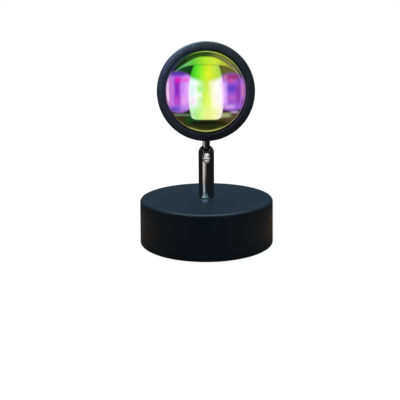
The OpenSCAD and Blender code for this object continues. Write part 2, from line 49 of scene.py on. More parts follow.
# ---- Camera ----
# The lens side is seen from in front and a little above, from 400 mm away, as the lamp stands on a table at
# arm's length. The lamp stands slightly right of the middle of the picture, which the shift gives.
camera_distance = 400 * mm
camera_height = 133.4 * mm
camera_pitch = math.radians(14.34)
camera_roll = math.radians(0.31)
camera_lens = 49.72
camera_sensor = 36
camera_sees_from = 10 * mm
picture_px = 400
axis_right_of_middle_px = 6.5

camera_data = bpy.data.cameras.new("camera")
camera_data.sensor_width = camera_sensor
camera_data.lens = camera_lens
camera_data.shift_x = -axis_right_of_middle_px / picture_px
camera_data.clip_start = camera_sees_from
camera = bpy.data.objects.new("camera", camera_data)
bpy.context.scene.collection.objects.link(camera)
camera.matrix_world = (
    Matrix.Translation((0, -camera_distance, camera_height))
    @ Matrix.Rotation(math.pi / 2 - camera_pitch, 4, "X")
    @ Matrix.Rotation(-camera_roll, 4, "Z")
)
bpy.context.scene.camera = camera
bpy.context.scene.view_settings.view_transform = "Standard"

# ---- Floor ----
# A white sweep of studio paper. The camera sees it lit so evenly that the lamp's shadow hardly shows. The
# lamp's own finishes mirror it as a dim warm surface, as they do with the paper flagged off round the lamp.
floor_size = 6.0
paper_glow = (0.955, 1.0)
paper_glow_evens = (0.05, 0.35)
paper_shade = (0.10, 0.10, 0.10, 1)
paper_mirrored = (0.058, 0.055, 0.054, 1)
paper_mirrored_aside = (0.23, 0.17, 0.12, 1)
paper_aside = (0.03, 0.10)
paper_mirrored_away = (0.032, 0.029, 0.026, 1)
paper_away = (0.12, 0.17)


def feed(tree, socket, value):
    """Gives a socket its value, which is a number, a colour or another node's output."""
    if isinstance(value, bpy.types.NodeSocket):
        tree.links.new(value, socket)
    else:
        socket.default_value = value


def add(tree, kind, inputs=None, **settings):
    """A new node with its settings, and with its inputs given by name or by number."""
    node = tree.nodes.new(kind)
    for key, value in settings.items():
        setattr(node, key, value)
    for socket, value in (inputs or {}).items():
        feed(tree, node.inputs[socket], value)
    return node


def new_material(name):
    """An empty node material, with its tree and its output."""
    material = bpy.data.materials.new(name)
    material.use_nodes = True
    tree = material.node_tree
    tree.nodes.clear()
    return material, tree, add(tree, "ShaderNodeOutputMaterial")


def split(tree, vector):
    """The X, Y and Z of a vector, by name."""
    return add(tree, "ShaderNodeSeparateXYZ", {"Vector": vector}).outputs


def calculate(tree, operation, *values, clamp=False):
    """A Math node on one, two or three values, and its result."""
    inputs = dict(enumerate(values))
    return add(tree, "ShaderNodeMath", inputs, operation=operation, use_clamp=clamp).outputs[0]


def spread(tree, value, low, high, to_low=0.0, to_high=1.0, smooth=False):
    """A Map Range node from low..high to to_low..to_high, and its result."""
    inputs = dict(enumerate((value, low, high, to_low, to_high)))
    kind = "SMOOTHSTEP" if smooth else "LINEAR"
    return add(tree, "ShaderNodeMapRange", inputs, interpolation_type=kind).outputs["Result"]


def blend_colours(tree, mask, first, second):
    """The first colour where the mask is 0 and the second where it is 1."""
    inputs = {"Factor": mask, "A": first, "B": second}
    return add(tree, "ShaderNodeMix", inputs, data_type="RGBA").outputs["Result"]


bpy.ops.mesh.primitive_plane_add(size=floor_size)
floor = bpy.context.object
floor.name = "floor"
material, tree, output = new_material("studio_paper")
place = add(tree, "ShaderNodeTexCoord").outputs["Object"]
away = add(tree, "ShaderNodeVectorMath", {0: place}, operation="LENGTH").outputs["Value"]
aside = calculate(tree, "ABSOLUTE", split(tree, place)["X"])
evens = spread(tree, away, *paper_glow_evens, *paper_glow, smooth=True)
glow = add(tree, "ShaderNodeEmission", {"Strength": evens})
shade = add(tree, "ShaderNodeBsdfDiffuse", {"Color": paper_shade})
lit = add(tree, "ShaderNodeAddShader", {0: glow.outputs[0], 1: shade.outputs[0]})
is_aside = spread(tree, aside, *paper_aside, smooth=True)
is_away = spread(tree, away, *paper_away, smooth=True)
warmed = blend_colours(tree, is_aside, paper_mirrored, paper_mirrored_aside)
dimmed = blend_colours(tree, is_away, warmed, paper_mirrored_away)
mirrored = add(tree, "ShaderNodeEmission", {"Color": dimmed})
seen = add(tree, "ShaderNodeLightPath").outputs["Is Camera Ray"]
either = add(tree, "ShaderNodeMixShader", {0: seen, 1: mirrored.outputs[0], 2: lit.outputs[0]})
feed(tree, output.inputs["Surface"], either.outputs[0])
floor.data.materials.append(material)

# ---- Studio light ----
# Large cool softboxes overhead, and a dim room that is bluer above and greyer behind. Small cards, flagged so
# that each lights only a few pieces, draw the bright line down the post and the glint on the ball. The
# camera sees white where nothing stands.
room_white = (1, 1, 1, 1)
room_in_front = (0.034, 0.038, 0.040, 1)
room_behind = (0.1, 0.6)
room_by_height = (
    (0.0, (0.090, 0.098, 0.104, 1)), (0.18, (0.096, 0.098, 0.098, 1)), (0.30, (0.055, 0.135, 0.215, 1)),
    (0.44, (0.030, 0.060, 0.090, 1)), (0.80, (0.020, 0.026, 0.034, 1)))
head_pieces = ("crowned_bezel", "head_tube")
back_pieces = ("sink_block", "cooling_fins", "vented_rear_cover", "rear_cover_screws", "rubber_grommet")
post_only, stud_only = ("ball_post",), ("ball_stud_turned",)
can_only, lens_only = ("base_can",), ("dome_lens",)
warm_white, soft_white, cool_white = (1.0, 0.985, 0.95), (1.0, 1.0, 0.98), (0.92, 0.97, 1.0)
softboxes = [
    # name, place, point it faces, width and height in metres, watts, colour, the pieces it lights (or after
    # "not", those it doesn't), the only pieces that shade it (all, where none is named)
    ("top_softbox", (-0.06, 0.02, 0.95), (0, 0, 0.08), 0.8, 0.8, 12, (0.66, 0.88, 1.0),
     ("not", "dome_lens", "base_can"), ()),
    ("base_softbox", (0, -0.05, 0.92), (0, 0, 0.033), 0.9, 0.9, 11.5, (0.58, 0.83, 1.0), can_only, lens_only),
    ("head_softbox", (-0.34, -0.40, 0.86), (0, 0, 0.11), 0.45, 0.45, 14, (0.56, 0.90, 1.0), head_pieces, ()),
    ("violet_card", (-0.40, -0.72, 0.44), (0, 0, 0.11), 0.35, 0.35, 1.8, (0.34, 0.36, 1.0), head_pieces, ()),
    ("post_strip", (-0.131, -0.157, 0.033), (0, 0, 0.033), 0.10, 0.066, 0.040, warm_white, post_only, ()),
    ("post_fill", (-0.070, -0.240, 0.020), (0, 0, 0.020), 0.10, 0.070, 0.016, (1.0, 0.96, 0.93),
     post_only, ()),
    ("neck_strip", (-0.190, -0.045, 0.028), (0, 0, 0.028), 0.24, 0.056, 0.060, warm_white, stud_only, ()),
    ("low_strip", (-0.0191, -0.0317, 0.0339), (-0.0186, -0.0308, 0.1339), 0.014, 0.024, 0.00145,
     (0.80, 0.92, 1.0), post_only, ()),
    ("near_strip", (-0.0080, -0.0138, 0.0338), (-0.0075, -0.0129, 0.1338), 0.0056, 0.0175, 0.00030,
     (0.66, 0.94, 1.0), post_only, ()),
    ("foot_card", (-0.0004, -0.0140, 0.0338), (-0.0004, -0.0130, 0.1338), 0.0075, 0.0140, 0.00015,
     (0.46, 0.88, 1.0), post_only, ()),
    ("foot_glow", (-0.0010, -0.0088, 0.0346), (-0.0010, -0.0088, 0.0336), 0.0044, 0.0055, 0.00007,
     (0.42, 0.80, 1.0), can_only, ()),
    ("rear_softbox", (0.34, 0.66, 0.46), (0, 0.02, 0.11), 0.5, 0.5, 6, cool_white, back_pieces, ()),
    ("streak_window", (-0.40, -0.76, 0.235), (0, 0, 0.05), 0.50, 0.22, 0.45, (0.60, 0.86, 1.0), post_only, ()),
    ("ball_card", (0.0020, -0.0110, 0.0445), (0, 0, 0.0671), 0.036, 0.075, 0.0080, soft_white,
     stud_only, lens_only),
    ("seat_card", (0.002, -0.0150, 0.0860), (0, -0.003, 0.0630), 0.030, 0.020, 0.0180, soft_white,
     ("ball_seat",), lens_only),
    ("slot_card", (0, -0.0075, 0.0745), (0, -0.0052, 0.0585), 0.020, 0.012, 0.00035, soft_white,
     post_only, lens_only),
]
flagged = []
for name, light_place, aim, width, height, watts, colour, lit_pieces, shading_pieces in softboxes:
    light = bpy.data.lights.new(name, "AREA")
    light.shape = "RECTANGLE"
    light.size = width
    light.size_y = height
    light.energy = watts
    light.color = colour
    softbox = bpy.data.objects.new(name, light)
    softbox.location = light_place
    softbox.rotation_euler = (Vector(aim) - Vector(light_place)).to_track_quat("-Z", "Y").to_euler()
    softbox.visible_camera = False
    bpy.context.scene.collection.objects.link(softbox)
    flagged.append((softbox, lit_pieces, shading_pieces))


def ramp(tree, value, stops):
    """A colour that goes through stops of (value from 0 to 1, colour)."""
    node = add(tree, "ShaderNodeValToRGB", {"Fac": value})
    for _ in stops[2:]:
        node.color_ramp.elements.new(0.5)
    for element, (at, colour) in zip(node.color_ramp.elements, stops):
        element.position = at
        element.color = colour
    return node.outputs["Color"]


world = bpy.data.worlds.new("room")
world.use_nodes = True
bpy.context.scene.world = world
tree = world.node_tree
tree.nodes.clear()
direction = split(tree, add(tree, "ShaderNodeTexCoord").outputs["Generated"])
behind = spread(tree, direction["Y"], *room_behind, smooth=True)
around = blend_colours(tree, behind, room_in_front, ramp(tree, direction["Z"], room_by_height))
seen = add(tree, "ShaderNodeLightPath").outputs["Is Camera Ray"]
background = add(tree, "ShaderNodeBackground", {"Color": blend_colours(tree, seen, around, room_white)})
add(tree, "ShaderNodeOutputWorld", {"Surface": background.outputs[0]})

# ---- Base can ----
# The can is drawn from sheet steel, with a small rounded edge round its flat top, and powder-coated satin
# black. Its rim stands just clear of the table. A hole low in the back takes the lead's grommet.
can_low, can_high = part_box("base_shell")
can_r = can_high.x
can_lean = 0.8 * mm
can_wall = 1.4 * mm
can_top_t = 2 * mm
can_edge_r = 2.3 * mm
can_inner_edge_r = 1.5 * mm
can_rim_round = 0.3 * mm
can_centre_hole_r = 4.9 * mm
can_hole_band = (6 * mm, 16 * mm)
inlet_z = 11 * mm
inlet_hole_r = 3.9 * mm
cut_past = 10 * mm
coat_black = (0.0110, 0.0180, 0.0260, 1)
coat_black_mottle = (0.0135, 0.0205, 0.0295, 1)
coat_bare = (0.16, 0.165, 0.17, 1)
dust_grey = (0.30, 0.29, 0.27, 1)
dust_roughens = 0.5
sharp_edge = math.radians(35)
merge_within = 0.003 * mm
sliver_w = 0.001 * mm


def arc(centre, radius, start, end, steps):
    """Points along an arc, from one angle to another in degrees."""
    angles = [math.radians(start + (end - start) * i / steps) for i in range(steps + 1)]
    return [(centre[0] + radius * math.cos(a), centre[1] + radius * math.sin(a)) for a in angles]


def upright(x, y, along):
    """The place of a point of a piece that stands on the table."""
    return (x, y, along)


def towards_back(x, y, along):
    """The place of a point of a piece that is turned about the lead inlet's axis."""
    return (x, along, inlet_z + y)


def smooth_shade(mesh):
    """Shades a mesh smooth between its sharp edges."""
    mesh.shade_smooth()
    mesh.set_sharp_from_angle(angle=sharp_edge)


def new_object(name, bm):
    """An object for a shape, with its faces turned outwards."""
    bmesh.ops.recalc_face_normals(bm, faces=bm.faces)
    mesh = bpy.data.meshes.new(name)
    bm.to_mesh(mesh)
    bm.free()
    smooth_shade(mesh)
    piece = bpy.data.objects.new(name, mesh)
    bpy.context.scene.collection.objects.link(piece)
    return piece


def turned(name, outline, place=upright, segments=192):
    """A turned piece: an outline of (radius, distance along the axis) points, spun round. An outline that
    starts on the axis ends on it too, and any other is closed to make a ring."""
    bm = bmesh.new()
    rings = []
    for radius, along in outline:
        turns = [2 * math.pi * i / segments for i in range(segments if radius > 0 else 1)]
        rings.append([bm.verts.new(place(radius * math.cos(t), radius * math.sin(t), along)) for t in turns])
    is_ring = outline[0][0] > 0
    for one, other in zip(rings, rings[1:] + rings[:1] if is_ring else rings[1:]):
        for i in range(segments):
            k = i + 1
            corners = [one[i % len(one)], one[k % len(one)], other[k % len(other)], other[i % len(other)]]
            corners = list(dict.fromkeys(corners))
            if len(corners) > 2:
                bm.faces.new(corners)
    return new_object(name, bm)


def apply_modifiers(piece):
    """Makes a piece's modifiers part of its mesh."""
    bpy.context.view_layer.update()
    mesh = bpy.data.meshes.new_from_object(piece.evaluated_get(bpy.context.evaluated_depsgraph_get()))
    piece.modifiers.clear()
    piece.data = mesh
    smooth_shade(mesh)


def cut(piece, *cutters, operation="DIFFERENCE"):
    """Cuts other shapes out of a piece, or joins them to it. Removes them, and the slivers that they leave."""
    for cutter in cutters:
        boolean = piece.modifiers.new("cut", "BOOLEAN")
        boolean.operation = operation
        boolean.solver = "EXACT"
        boolean.object = cutter
    apply_modifiers(piece)
    bm = bmesh.new()
    bm.from_mesh(piece.data)
    bmesh.ops.remove_doubles(bm, verts=bm.verts, dist=merge_within)
    bmesh.ops.dissolve_degenerate(bm, edges=bm.edges, dist=sliver_w)
    bm.to_mesh(piece.data)
    bm.free()
    for cutter in cutters:
        bpy.data.objects.remove(cutter)


can_height = can_high.z - can_low.z
lean_angle = math.degrees(math.atan(can_lean / can_height))
edge_z = can_high.z - can_edge_r
edge_x = can_r - can_lean * (edge_z - can_low.z) / can_height - can_edge_r
inner_z = can_high.z - can_top_t - can_inner_edge_r
inner_x = can_r - can_wall - can_lean - can_inner_edge_r
outline = [(can_centre_hole_r, can_high.z)]
outline += arc((edge_x, edge_z), can_edge_r, 90, lean_angle, 12)
outline += [(can_r - can_lean * (z - can_low.z) / can_height, z) for z in reversed(can_hole_band)]
outline += arc((can_r - can_rim_round, can_low.z + can_rim_round), can_rim_round, 0, -90, 4)
outline += [(can_r - can_wall, can_low.z)]
outline += [(can_r - can_wall - can_lean * (z - can_low.z) / can_height, z) for z in can_hole_band]
outline += arc((inner_x, inner_z), can_inner_edge_r, 0, 90, 6)
outline += [(can_centre_hole_r, can_high.z - can_top_t)]
can = turned("base_can", outline, segments=256)
inlet_hole = [(0, can_r - cut_past), (inlet_hole_r, can_r - cut_past),
              (inlet_hole_r, can_r + cut_past), (0, can_r + cut_past)]
cut(can, turned("inlet_hole", inlet_hole, towards_back, segments=64))


def plus(tree, a, b):
    """The sum of two values."""
    return calculate(tree, "ADD", a, b)


def times(tree, a, b):
    """The product of two values."""
    return calculate(tree, "MULTIPLY", a, b)


def noise(tree, vector, per_metre, detail=2.0, roughness=0.5):
    """A Noise texture with a number of cells to the metre, and its result."""
    inputs = {"Vector": vector, "Scale": per_metre, "Detail": detail, "Roughness": roughness}
    return add(tree, "ShaderNodeTexNoise", inputs).outputs["Fac"]


def effect_group(name, inputs, outputs):
    """An empty shader node group with a Vector input, number inputs and number outputs. Returns it, what is
    given to it, and its output node."""
    group = bpy.data.node_groups.new(name, "ShaderNodeTree")
    group.interface.new_socket("Vector", in_out="INPUT", socket_type="NodeSocketVector")
    for label in inputs:
        group.interface.new_socket(label, in_out="INPUT", socket_type="NodeSocketFloat")
    for label in outputs:
        group.interface.new_socket(label, in_out="OUTPUT", socket_type="NodeSocketFloat")
    return group, add(group, "NodeGroupInput").outputs, add(group, "NodeGroupOutput")


def use_group(tree, group, inputs):
    """A group's node in a material, with its inputs given, and its results."""
    return add(tree, "ShaderNodeGroup", inputs, node_tree=group).outputs


# Fine relief of a coated, cast or moulded surface, and the soft patches in its tone
patch_to_grain = 0.07
grain_group, given, result = effect_group("surface_grain", ["Grain Size"], ["Height", "Mottle"])
per_metre = calculate(grain_group, "DIVIDE", 1.0, given["Grain Size"])
fine = noise(grain_group, given["Vector"], per_metre, detail=3.0)
per_metre = times(grain_group, per_metre, patch_to_grain)
coarse = noise(grain_group, given["Vector"], per_metre, detail=5.0, roughness=0.65)
feed(grain_group, result.inputs["Height"], fine)
feed(grain_group, result.inputs["Mottle"], spread(grain_group, coarse, 0.35, 0.65, smooth=True))

# Edges where handling has thinned the finish: a mask from how far the rounded normal turns from the face's own
wear_patches_per_metre = 420.0
wear_group, given, result = effect_group("edge_wear", ["Width", "Amount"], ["Mask"])
rounded = add(wear_group, "ShaderNodeBevel", {"Radius": given["Width"]}, samples=4).outputs["Normal"]
own = add(wear_group, "ShaderNodeNewGeometry").outputs["Normal"]
turn = add(wear_group, "ShaderNodeVectorMath", {0: rounded, 1: own}, operation="DOT_PRODUCT")
bent = spread(wear_group, turn.outputs["Value"], 0.995, 0.80)
patchy = spread(wear_group, noise(wear_group, given["Vector"], wear_patches_per_metre, detail=4.0), 0.42, 0.62)
worn = times(wear_group, bent, patchy)
feed(wear_group, result.inputs["Mask"], calculate(wear_group, "MULTIPLY", worn, given["Amount"], clamp=True))

# Dust that has settled on what faces up
specks_per_metre = 900.0
film_patches_per_metre = 40.0
dust_group, given, result = effect_group("settled_dust", ["Amount"], ["Mask"])
facing = split(dust_group, add(dust_group, "ShaderNodeTexCoord").outputs["Normal"])
upper = spread(dust_group, facing["Z"], 0.5, 1.0)
specks = noise(dust_group, given["Vector"], specks_per_metre, detail=5.0, roughness=0.7)
specks = spread(dust_group, specks, 0.56, 0.72)
film = noise(dust_group, given["Vector"], film_patches_per_metre, detail=3.0)
film = spread(dust_group, film, 0.3, 0.8, 0.0, 0.35)
cover = times(dust_group, calculate(dust_group, "ADD", specks, film, clamp=True), upper)
feed(dust_group, result.inputs["Mask"], times(dust_group, cover, given["Amount"]))


def shaded_material(name, inputs):
    """A material with one shader, whose plain inputs are given. Returns what its pattern joins on to."""
    material, tree, output = new_material(name)
    shader = add(tree, "ShaderNodeBsdfPrincipled", inputs)
    feed(tree, output.inputs["Surface"], shader.outputs["BSDF"])
    return material, tree, shader, add(tree, "ShaderNodeTexCoord").outputs["Object"]


def finish_of(name, tone, mottle, roughness, varied, grain, relief, metallic=0.0, bare=None, dust=0.0):
    """A finish: two tones in soft patches, a roughness that varies round its mean, a fine relief of a grain
    size and depth, bare metal at worn edges as (colour, width, amount), and dust. Returns the material, and
    what other effects join on to."""
    material, tree, shader, place = shaded_material(name, {"Metallic": metallic})
    surface = use_group(tree, grain_group, {"Vector": place, "Grain Size": grain})
    colour = blend_colours(tree, surface["Mottle"], tone, mottle)
    rough = spread(tree, surface["Mottle"], 0.0, 1.0, roughness - varied, roughness + varied)
    if bare:
        bare_colour, width, amount = bare
        worn = use_group(tree, wear_group, {"Vector": place, "Width": width, "Amount": amount})["Mask"]
        colour = blend_colours(tree, worn, colour, bare_colour)
        if metallic < 1:
            feed(tree, shader.inputs["Metallic"], spread(tree, worn, 0.0, 1.0, metallic, 1.0))
    if dust:
        settled = use_group(tree, dust_group, {"Vector": place, "Amount": dust})["Mask"]
        colour = blend_colours(tree, settled, colour, dust_grey)
        rough = calculate(tree, "ADD", rough, times(tree, settled, dust_roughens), clamp=True)
    bump = add(tree, "ShaderNodeBump", {"Distance": relief, "Height": surface["Height"]})
    feed(tree, shader.inputs["Base Color"], colour)
    feed(tree, shader.inputs["Roughness"], rough)
    feed(tree, shader.inputs["Normal"], bump.outputs["Normal"])
    return material, tree, shader, place, bump


coat = dict(varied=0.04, grain=0.45 * mm, relief=0.010 * mm, dust=0.05)
powder_coat, *_ = finish_of("satin_black_coat", tone=coat_black, mottle=coat_black_mottle, roughness=0.46,
                            bare=(coat_bare, 0.35 * mm, 0.25), **coat)
can.data.materials.append(powder_coat)
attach(can, "stand")
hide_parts("base_shell")

# ---- Cast weight ----
# A disc of cast iron under the top of the can keeps the lamp upright with its head tilted. It is left as
# cast, with a sandy skin and a few shallow pits.
iron_dark, iron_pale = (0.050, 0.048, 0.047, 1), (0.095, 0.088, 0.082, 1)
pits_per_metre = 320


def add_relief(tree, bump, height):
    """Adds a height to a finish's relief."""
    feed(tree, bump.inputs["Height"], plus(tree, bump.inputs["Height"].links[0].from_socket, height))


def refinish(node, material):
    """Gives a CAD node a new finish."""
    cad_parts[node].data.materials.clear()
    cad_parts[node].data.materials.append(material)


cast_iron, tree, shader, place, bump = finish_of(
    "cast_iron", iron_dark, iron_pale, roughness=0.72, varied=0.10, grain=0.8 * mm, relief=0.12 * mm,
    metallic=0.55)
pits = add(tree, "ShaderNodeTexVoronoi", {"Vector": place, "Scale": pits_per_metre})
add_relief(tree, bump, spread(tree, pits.outputs["Distance"], 0.0, 0.35))
refinish("base_weight", cast_iron)

# ---- Post ----
# A tube of brass, turned and bored, with a domed top that holds the ball. A slot with a countersunk lower end
# lets the neck fold forward. It is polished and plated in a dark smoky chrome.
post_low, post_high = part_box("socket_post")
post_r = post_high.x
post_wall = 1 * mm
post_bore_r = post_r - post_wall
ball_clearance = 0.1 * mm
ball_r = post_bore_r - ball_clearance
slot_w = 6 * mm
mouth_r = slot_w / 2
lip_r = mouth_r + 0.5 * mm
ball_z = post_high.z - math.sqrt(post_r**2 - lip_r**2)
slot_below_ball = 1.35 * mm
slot_end_z = ball_z - ball_r - slot_below_ball + mouth_r
slot_chamfer = 1.2 * mm
slot_cut_past = 2 * mm
post_foot_chamfer = 0.25 * mm
smoky_chrome, smoky_chrome_mottle = (0.28, 0.28, 0.28, 1), (0.31, 0.31, 0.31, 1)
smoky_chrome_bare = (0.45, 0.45, 0.44, 1)


def towards_front(x, y, along):
    """The place of a point of a piece that is turned about the slot's lower end."""
    return (x, -along, slot_end_z + y)


outline = [(post_r - post_foot_chamfer, post_low.z), (post_r, post_low.z + post_foot_chamfer)]
outline += arc((0, ball_z), post_r, 0, math.degrees(math.acos(lip_r / post_r)), 12)
outline += [(mouth_r, post_high.z)]
outline += arc((0, ball_z), post_bore_r, math.degrees(math.acos(mouth_r / post_bore_r)), 0, 10)
outline += [(post_bore_r, post_low.z)]
post = turned("ball_post", outline, segments=128)
slot_outline = arc((0, slot_end_z), mouth_r, 180, 360, 32)
slot_outline += [(mouth_r, post_high.z + slot_cut_past), (-mouth_r, post_high.z + slot_cut_past)]
bm = bmesh.new()
near_side = [bm.verts.new((x, -2 * post_r, z)) for x, z in slot_outline]
far_side = [bm.verts.new((x, 0, z)) for x, z in slot_outline]
bm.faces.new(near_side)
bm.faces.new(far_side[::-1])
for i in range(len(slot_outline)):
    k = (i + 1) % len(slot_outline)
    bm.faces.new((near_side[i], far_side[i], far_side[k], near_side[k]))
countersink = [(0, post_r - slot_chamfer), (mouth_r, post_r - slot_chamfer),
               (mouth_r + 2 * slot_chamfer, post_r + slot_chamfer), (0, post_r + slot_chamfer)]
cut(post, new_object("slot", bm), turned("countersink", countersink, towards_front, segments=64))

# Marks of the lathe and of the buff: fine rings round a turned piece's axis
turning_group, given, result = effect_group("turning_marks", ["Pitch"], ["Height"])
rings_at = calculate(turning_group, "DIVIDE", split(turning_group, given["Vector"])["Z"], given["Pitch"])
marks = add(turning_group, "ShaderNodeTexNoise", {"W": rings_at, "Scale": 1, "Detail": 3},
            noise_dimensions="1D")
feed(turning_group, result.inputs["Height"], marks.outputs["Fac"])


def add_turning_marks(tree, place, bump, pitch, share):
    """Lays turning marks over a finish's relief. The share is their height against the grain's."""
    marks = use_group(tree, turning_group, {"Vector": place, "Pitch": pitch})["Height"]
    add_relief(tree, bump, times(tree, marks, share))


dark_plate, tree, shader, place, bump = finish_of(
    "smoky_chrome", smoky_chrome, smoky_chrome_mottle, roughness=0.13, varied=0.03, grain=0.5 * mm,
    relief=0.0012 * mm, metallic=1.0, bare=(smoky_chrome_bare, 0.12 * mm, 0.35))
add_turning_marks(tree, place, bump, pitch=0.12 * mm, share=1.5)
post.data.materials.append(dark_plate)
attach(post, "stand")
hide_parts("socket_post")

# ---- Nipple, washer and nut ----
# A hollow threaded nipple holds the post down on the can and the weight, with a washer and a nut under the
# weight. The nipple is yellow zinc, which shows faint rainbow patches, and the washer and nut are bright
# zinc.
zinc_grey, zinc_pale = (0.50, 0.51, 0.53, 1), (0.62, 0.63, 0.64, 1)
zinc_gold, zinc_rose, zinc_green = (0.62, 0.46, 0.16, 1), (0.58, 0.40, 0.30, 1), (0.38, 0.50, 0.26, 1)
rainbow_patches_per_metre = 260.0


def lay_over(tree, shader, mask, colour):
    """Lays a colour over a finish where a mask is 1."""
    under = shader.inputs["Base Color"].links[0].from_socket
    feed(tree, shader.inputs["Base Color"], blend_colours(tree, mask, under, colour))


bright_zinc, *_ = finish_of("bright_zinc", zinc_grey, zinc_pale, roughness=0.30, varied=0.08, grain=0.6 * mm,
                            relief=0.01 * mm, metallic=1.0)
yellow_zinc, tree, shader, place, bump = finish_of(
    "yellow_zinc", zinc_gold, zinc_rose, roughness=0.28, varied=0.07, grain=0.5 * mm, relief=0.01 * mm,
    metallic=1.0)
rainbow = noise(tree, place, rainbow_patches_per_metre, detail=3.0)
lay_over(tree, shader, spread(tree, rainbow, 0.45, 0.70, smooth=True), zinc_green)
add_turning_marks(tree, place, bump, pitch=0.5 * mm, share=4.0)
refinish("threaded_nipple", yellow_zinc)
refinish("clamp_washer", bright_zinc)
refinish("clamp_nut", bright_zinc)

# ---- Ball seat, spring and hollow screw ----
# A nylon seat is pressed up against the ball by a coil spring, which the hollow screw below it loads. The
# spring is bright drawn wire with lengthwise draw lines. The seat is painted darker in a band under its rim
# and
# towards its sides: painted shade under the ball.
seat_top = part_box("ball_seat")[1].z
nylon_ivory, nylon_pale = (0.74, 0.73, 0.69, 1), (0.80, 0.79, 0.75, 1)
wire_grey, wire_pale = (0.30, 0.31, 0.33, 1), (0.40, 0.41, 0.43, 1)
seat_painted_shade = (0.10, 0.10, 0.095, 1)
shade_band_depths = (1.3 * mm, 0.5 * mm)
unshaded_rim_depths = (0.05 * mm, 0.25 * mm)
rim_depths = (0.4 * mm, 0.1 * mm)
shaded_side_reach = (1.5 * mm, 2.3 * mm)


def below_top(depths, smooth=False):
    """A mask that goes from 0 to 1 between two depths below the seat's top."""
    return spread(tree, along["Z"], seat_top - depths[0], seat_top - depths[1], smooth=smooth)


seat_nylon, tree, shader, place, bump = finish_of(
    "seat_nylon", nylon_ivory, nylon_pale, roughness=0.42, varied=0.06, grain=0.7 * mm, relief=0.02 * mm)
along = split(tree, place)
# Painted shade: a darker band under the seat's rim and darker sides, where the ball shades the seat
shaded_sides = spread(tree, calculate(tree, "ABSOLUTE", along["X"]), *shaded_side_reach, smooth=True)
shaded_sides = times(tree, below_top(rim_depths), shaded_sides)
shaded_band = times(tree, below_top(shade_band_depths, smooth=True), below_top(unshaded_rim_depths))
lay_over(tree, shader, calculate(tree, "MAXIMUM", shaded_band, shaded_sides), seat_painted_shade)
spring_wire, tree, shader, place, bump = finish_of(
    "spring_wire", wire_grey, wire_pale, roughness=0.26, varied=0.06, grain=0.3 * mm, relief=0.006 * mm,
    metallic=1.0)
add_turning_marks(tree, place, bump, pitch=0.08 * mm, share=1.0)
refinish("ball_seat", seat_nylon)
refinish("seat_spring", spring_wire)
refinish("spring_plug", yellow_zinc)

# ---- Ball stud ----
# One turned piece: the ball, the neck, a collar under the head and a threaded end in the head. It is bored
# for the lead, with a flared mouth in the ball, and plated in bright chrome. The neck is painted a darker
# chrome than the ball: painted shade.
neck_r = 2.7 * mm
neck_fillet = 0.5 * mm
neck_clears_ball = 0.05 * mm
stud_bore_r = 1.3 * mm
flare_depth = 1.44 * mm
flare_r = 2.09 * mm
collar_r = 4.2 * mm
collar_t = 1.6 * mm
collar_chamfer = 0.3 * mm
collar_top_chamfer = 0.1 * mm
thread_r = 2.4 * mm
head_low, head_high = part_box("head_housing")
head_r = head_high.x
head_z = (head_low.z + head_high.z) / 2
spot_depth = 0.5 * mm
collar_gap = 0.1 * mm
collar_top = head_z - head_r + spot_depth - collar_gap
collar_low = collar_top - collar_t
stud_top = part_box("ball_stud")[1].z
bright_chrome, bright_chrome_mottle = (0.62, 0.63, 0.64, 1), (0.70, 0.71, 0.72, 1)
neck_shaded_chrome = (0.22, 0.22, 0.225, 1)
neck_shade_from = (3.2 * mm, 4.4 * mm)

outline = [(stud_bore_r, ball_z - ball_r + flare_depth)]
outline += arc((0, ball_z), ball_r, -math.degrees(math.acos(flare_r / ball_r)),
               math.degrees(math.acos((neck_r + neck_clears_ball) / ball_r)), 40)
outline += arc((neck_r + neck_fillet, collar_low - neck_fillet), neck_fillet, 180, 90, 5)
outline += [(collar_r - collar_chamfer, collar_low), (collar_r, collar_low + collar_chamfer)]
outline += [(collar_r, collar_top - collar_top_chamfer), (collar_r - collar_top_chamfer, collar_top)]
outline += [(thread_r, collar_top), (thread_r, stud_top), (stud_bore_r, stud_top)]
stud = turned("ball_stud_turned", outline, segments=128)
bright_plate, tree, shader, place, bump = finish_of(
    "bright_chrome", bright_chrome, bright_chrome_mottle, roughness=0.12, varied=0.03, grain=0.5 * mm,
    relief=0.001 * mm, metallic=1.0)
add_turning_marks(tree, place, bump, pitch=0.10 * mm, share=1.5)
# Painted shade: the neck gets a darker chrome than the ball
on_neck = spread(tree, split(tree, place)["Z"], *[ball_z + height for height in neck_shade_from], smooth=True)
lay_over(tree, shader, on_neck, neck_shaded_chrome)
stud.data.materials.append(bright_plate)
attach(stud, "ball")
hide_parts("ball_stud")

# ---- Bottom cover, its screws and the foot pad ----
# A moulded cover closes the can from below, held to the weight by three screws. A disc of closed-cell foam,
# stuck over it, is what the lamp stands on.
pad_low, pad_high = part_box("foot_pad")
pad_r = pad_high.x
pad_edge = 0.35 * mm
foam_cells_per_metre = 1600
cover_black, cover_black_mottle = (0.020, 0.021, 0.022, 1), (0.026, 0.027, 0.028, 1)
foam_black, foam_black_mottle = (0.014, 0.014, 0.015, 1), (0.022, 0.022, 0.023, 1)

cover_plastic, *_ = finish_of("moulded_cover", cover_black, cover_black_mottle, roughness=0.58, varied=0.06,
                              grain=0.25 * mm, relief=0.03 * mm)
refinish("bottom_cover", cover_plastic)
refinish("cover_screws", bright_zinc)
outline = [(0, pad_low.z)]
outline += arc((pad_r - pad_edge, pad_low.z + pad_edge), pad_edge, -90, 0, 5)
outline += [(pad_r, pad_high.z), (0, pad_high.z)]
pad = turned("foam_foot", outline)
foam, tree, shader, place, bump = finish_of(
    "closed_cell_foam", foam_black, foam_black_mottle, roughness=0.88, varied=0.05, grain=0.4 * mm,
    relief=0.10 * mm)
cells = add(tree, "ShaderNodeTexVoronoi", {"Vector": place, "Scale": foam_cells_per_metre})
add_relief(tree, bump, cells.outputs["Distance"])
pad.data.materials.append(foam)
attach(pad, "stand")
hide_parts("foot_pad")

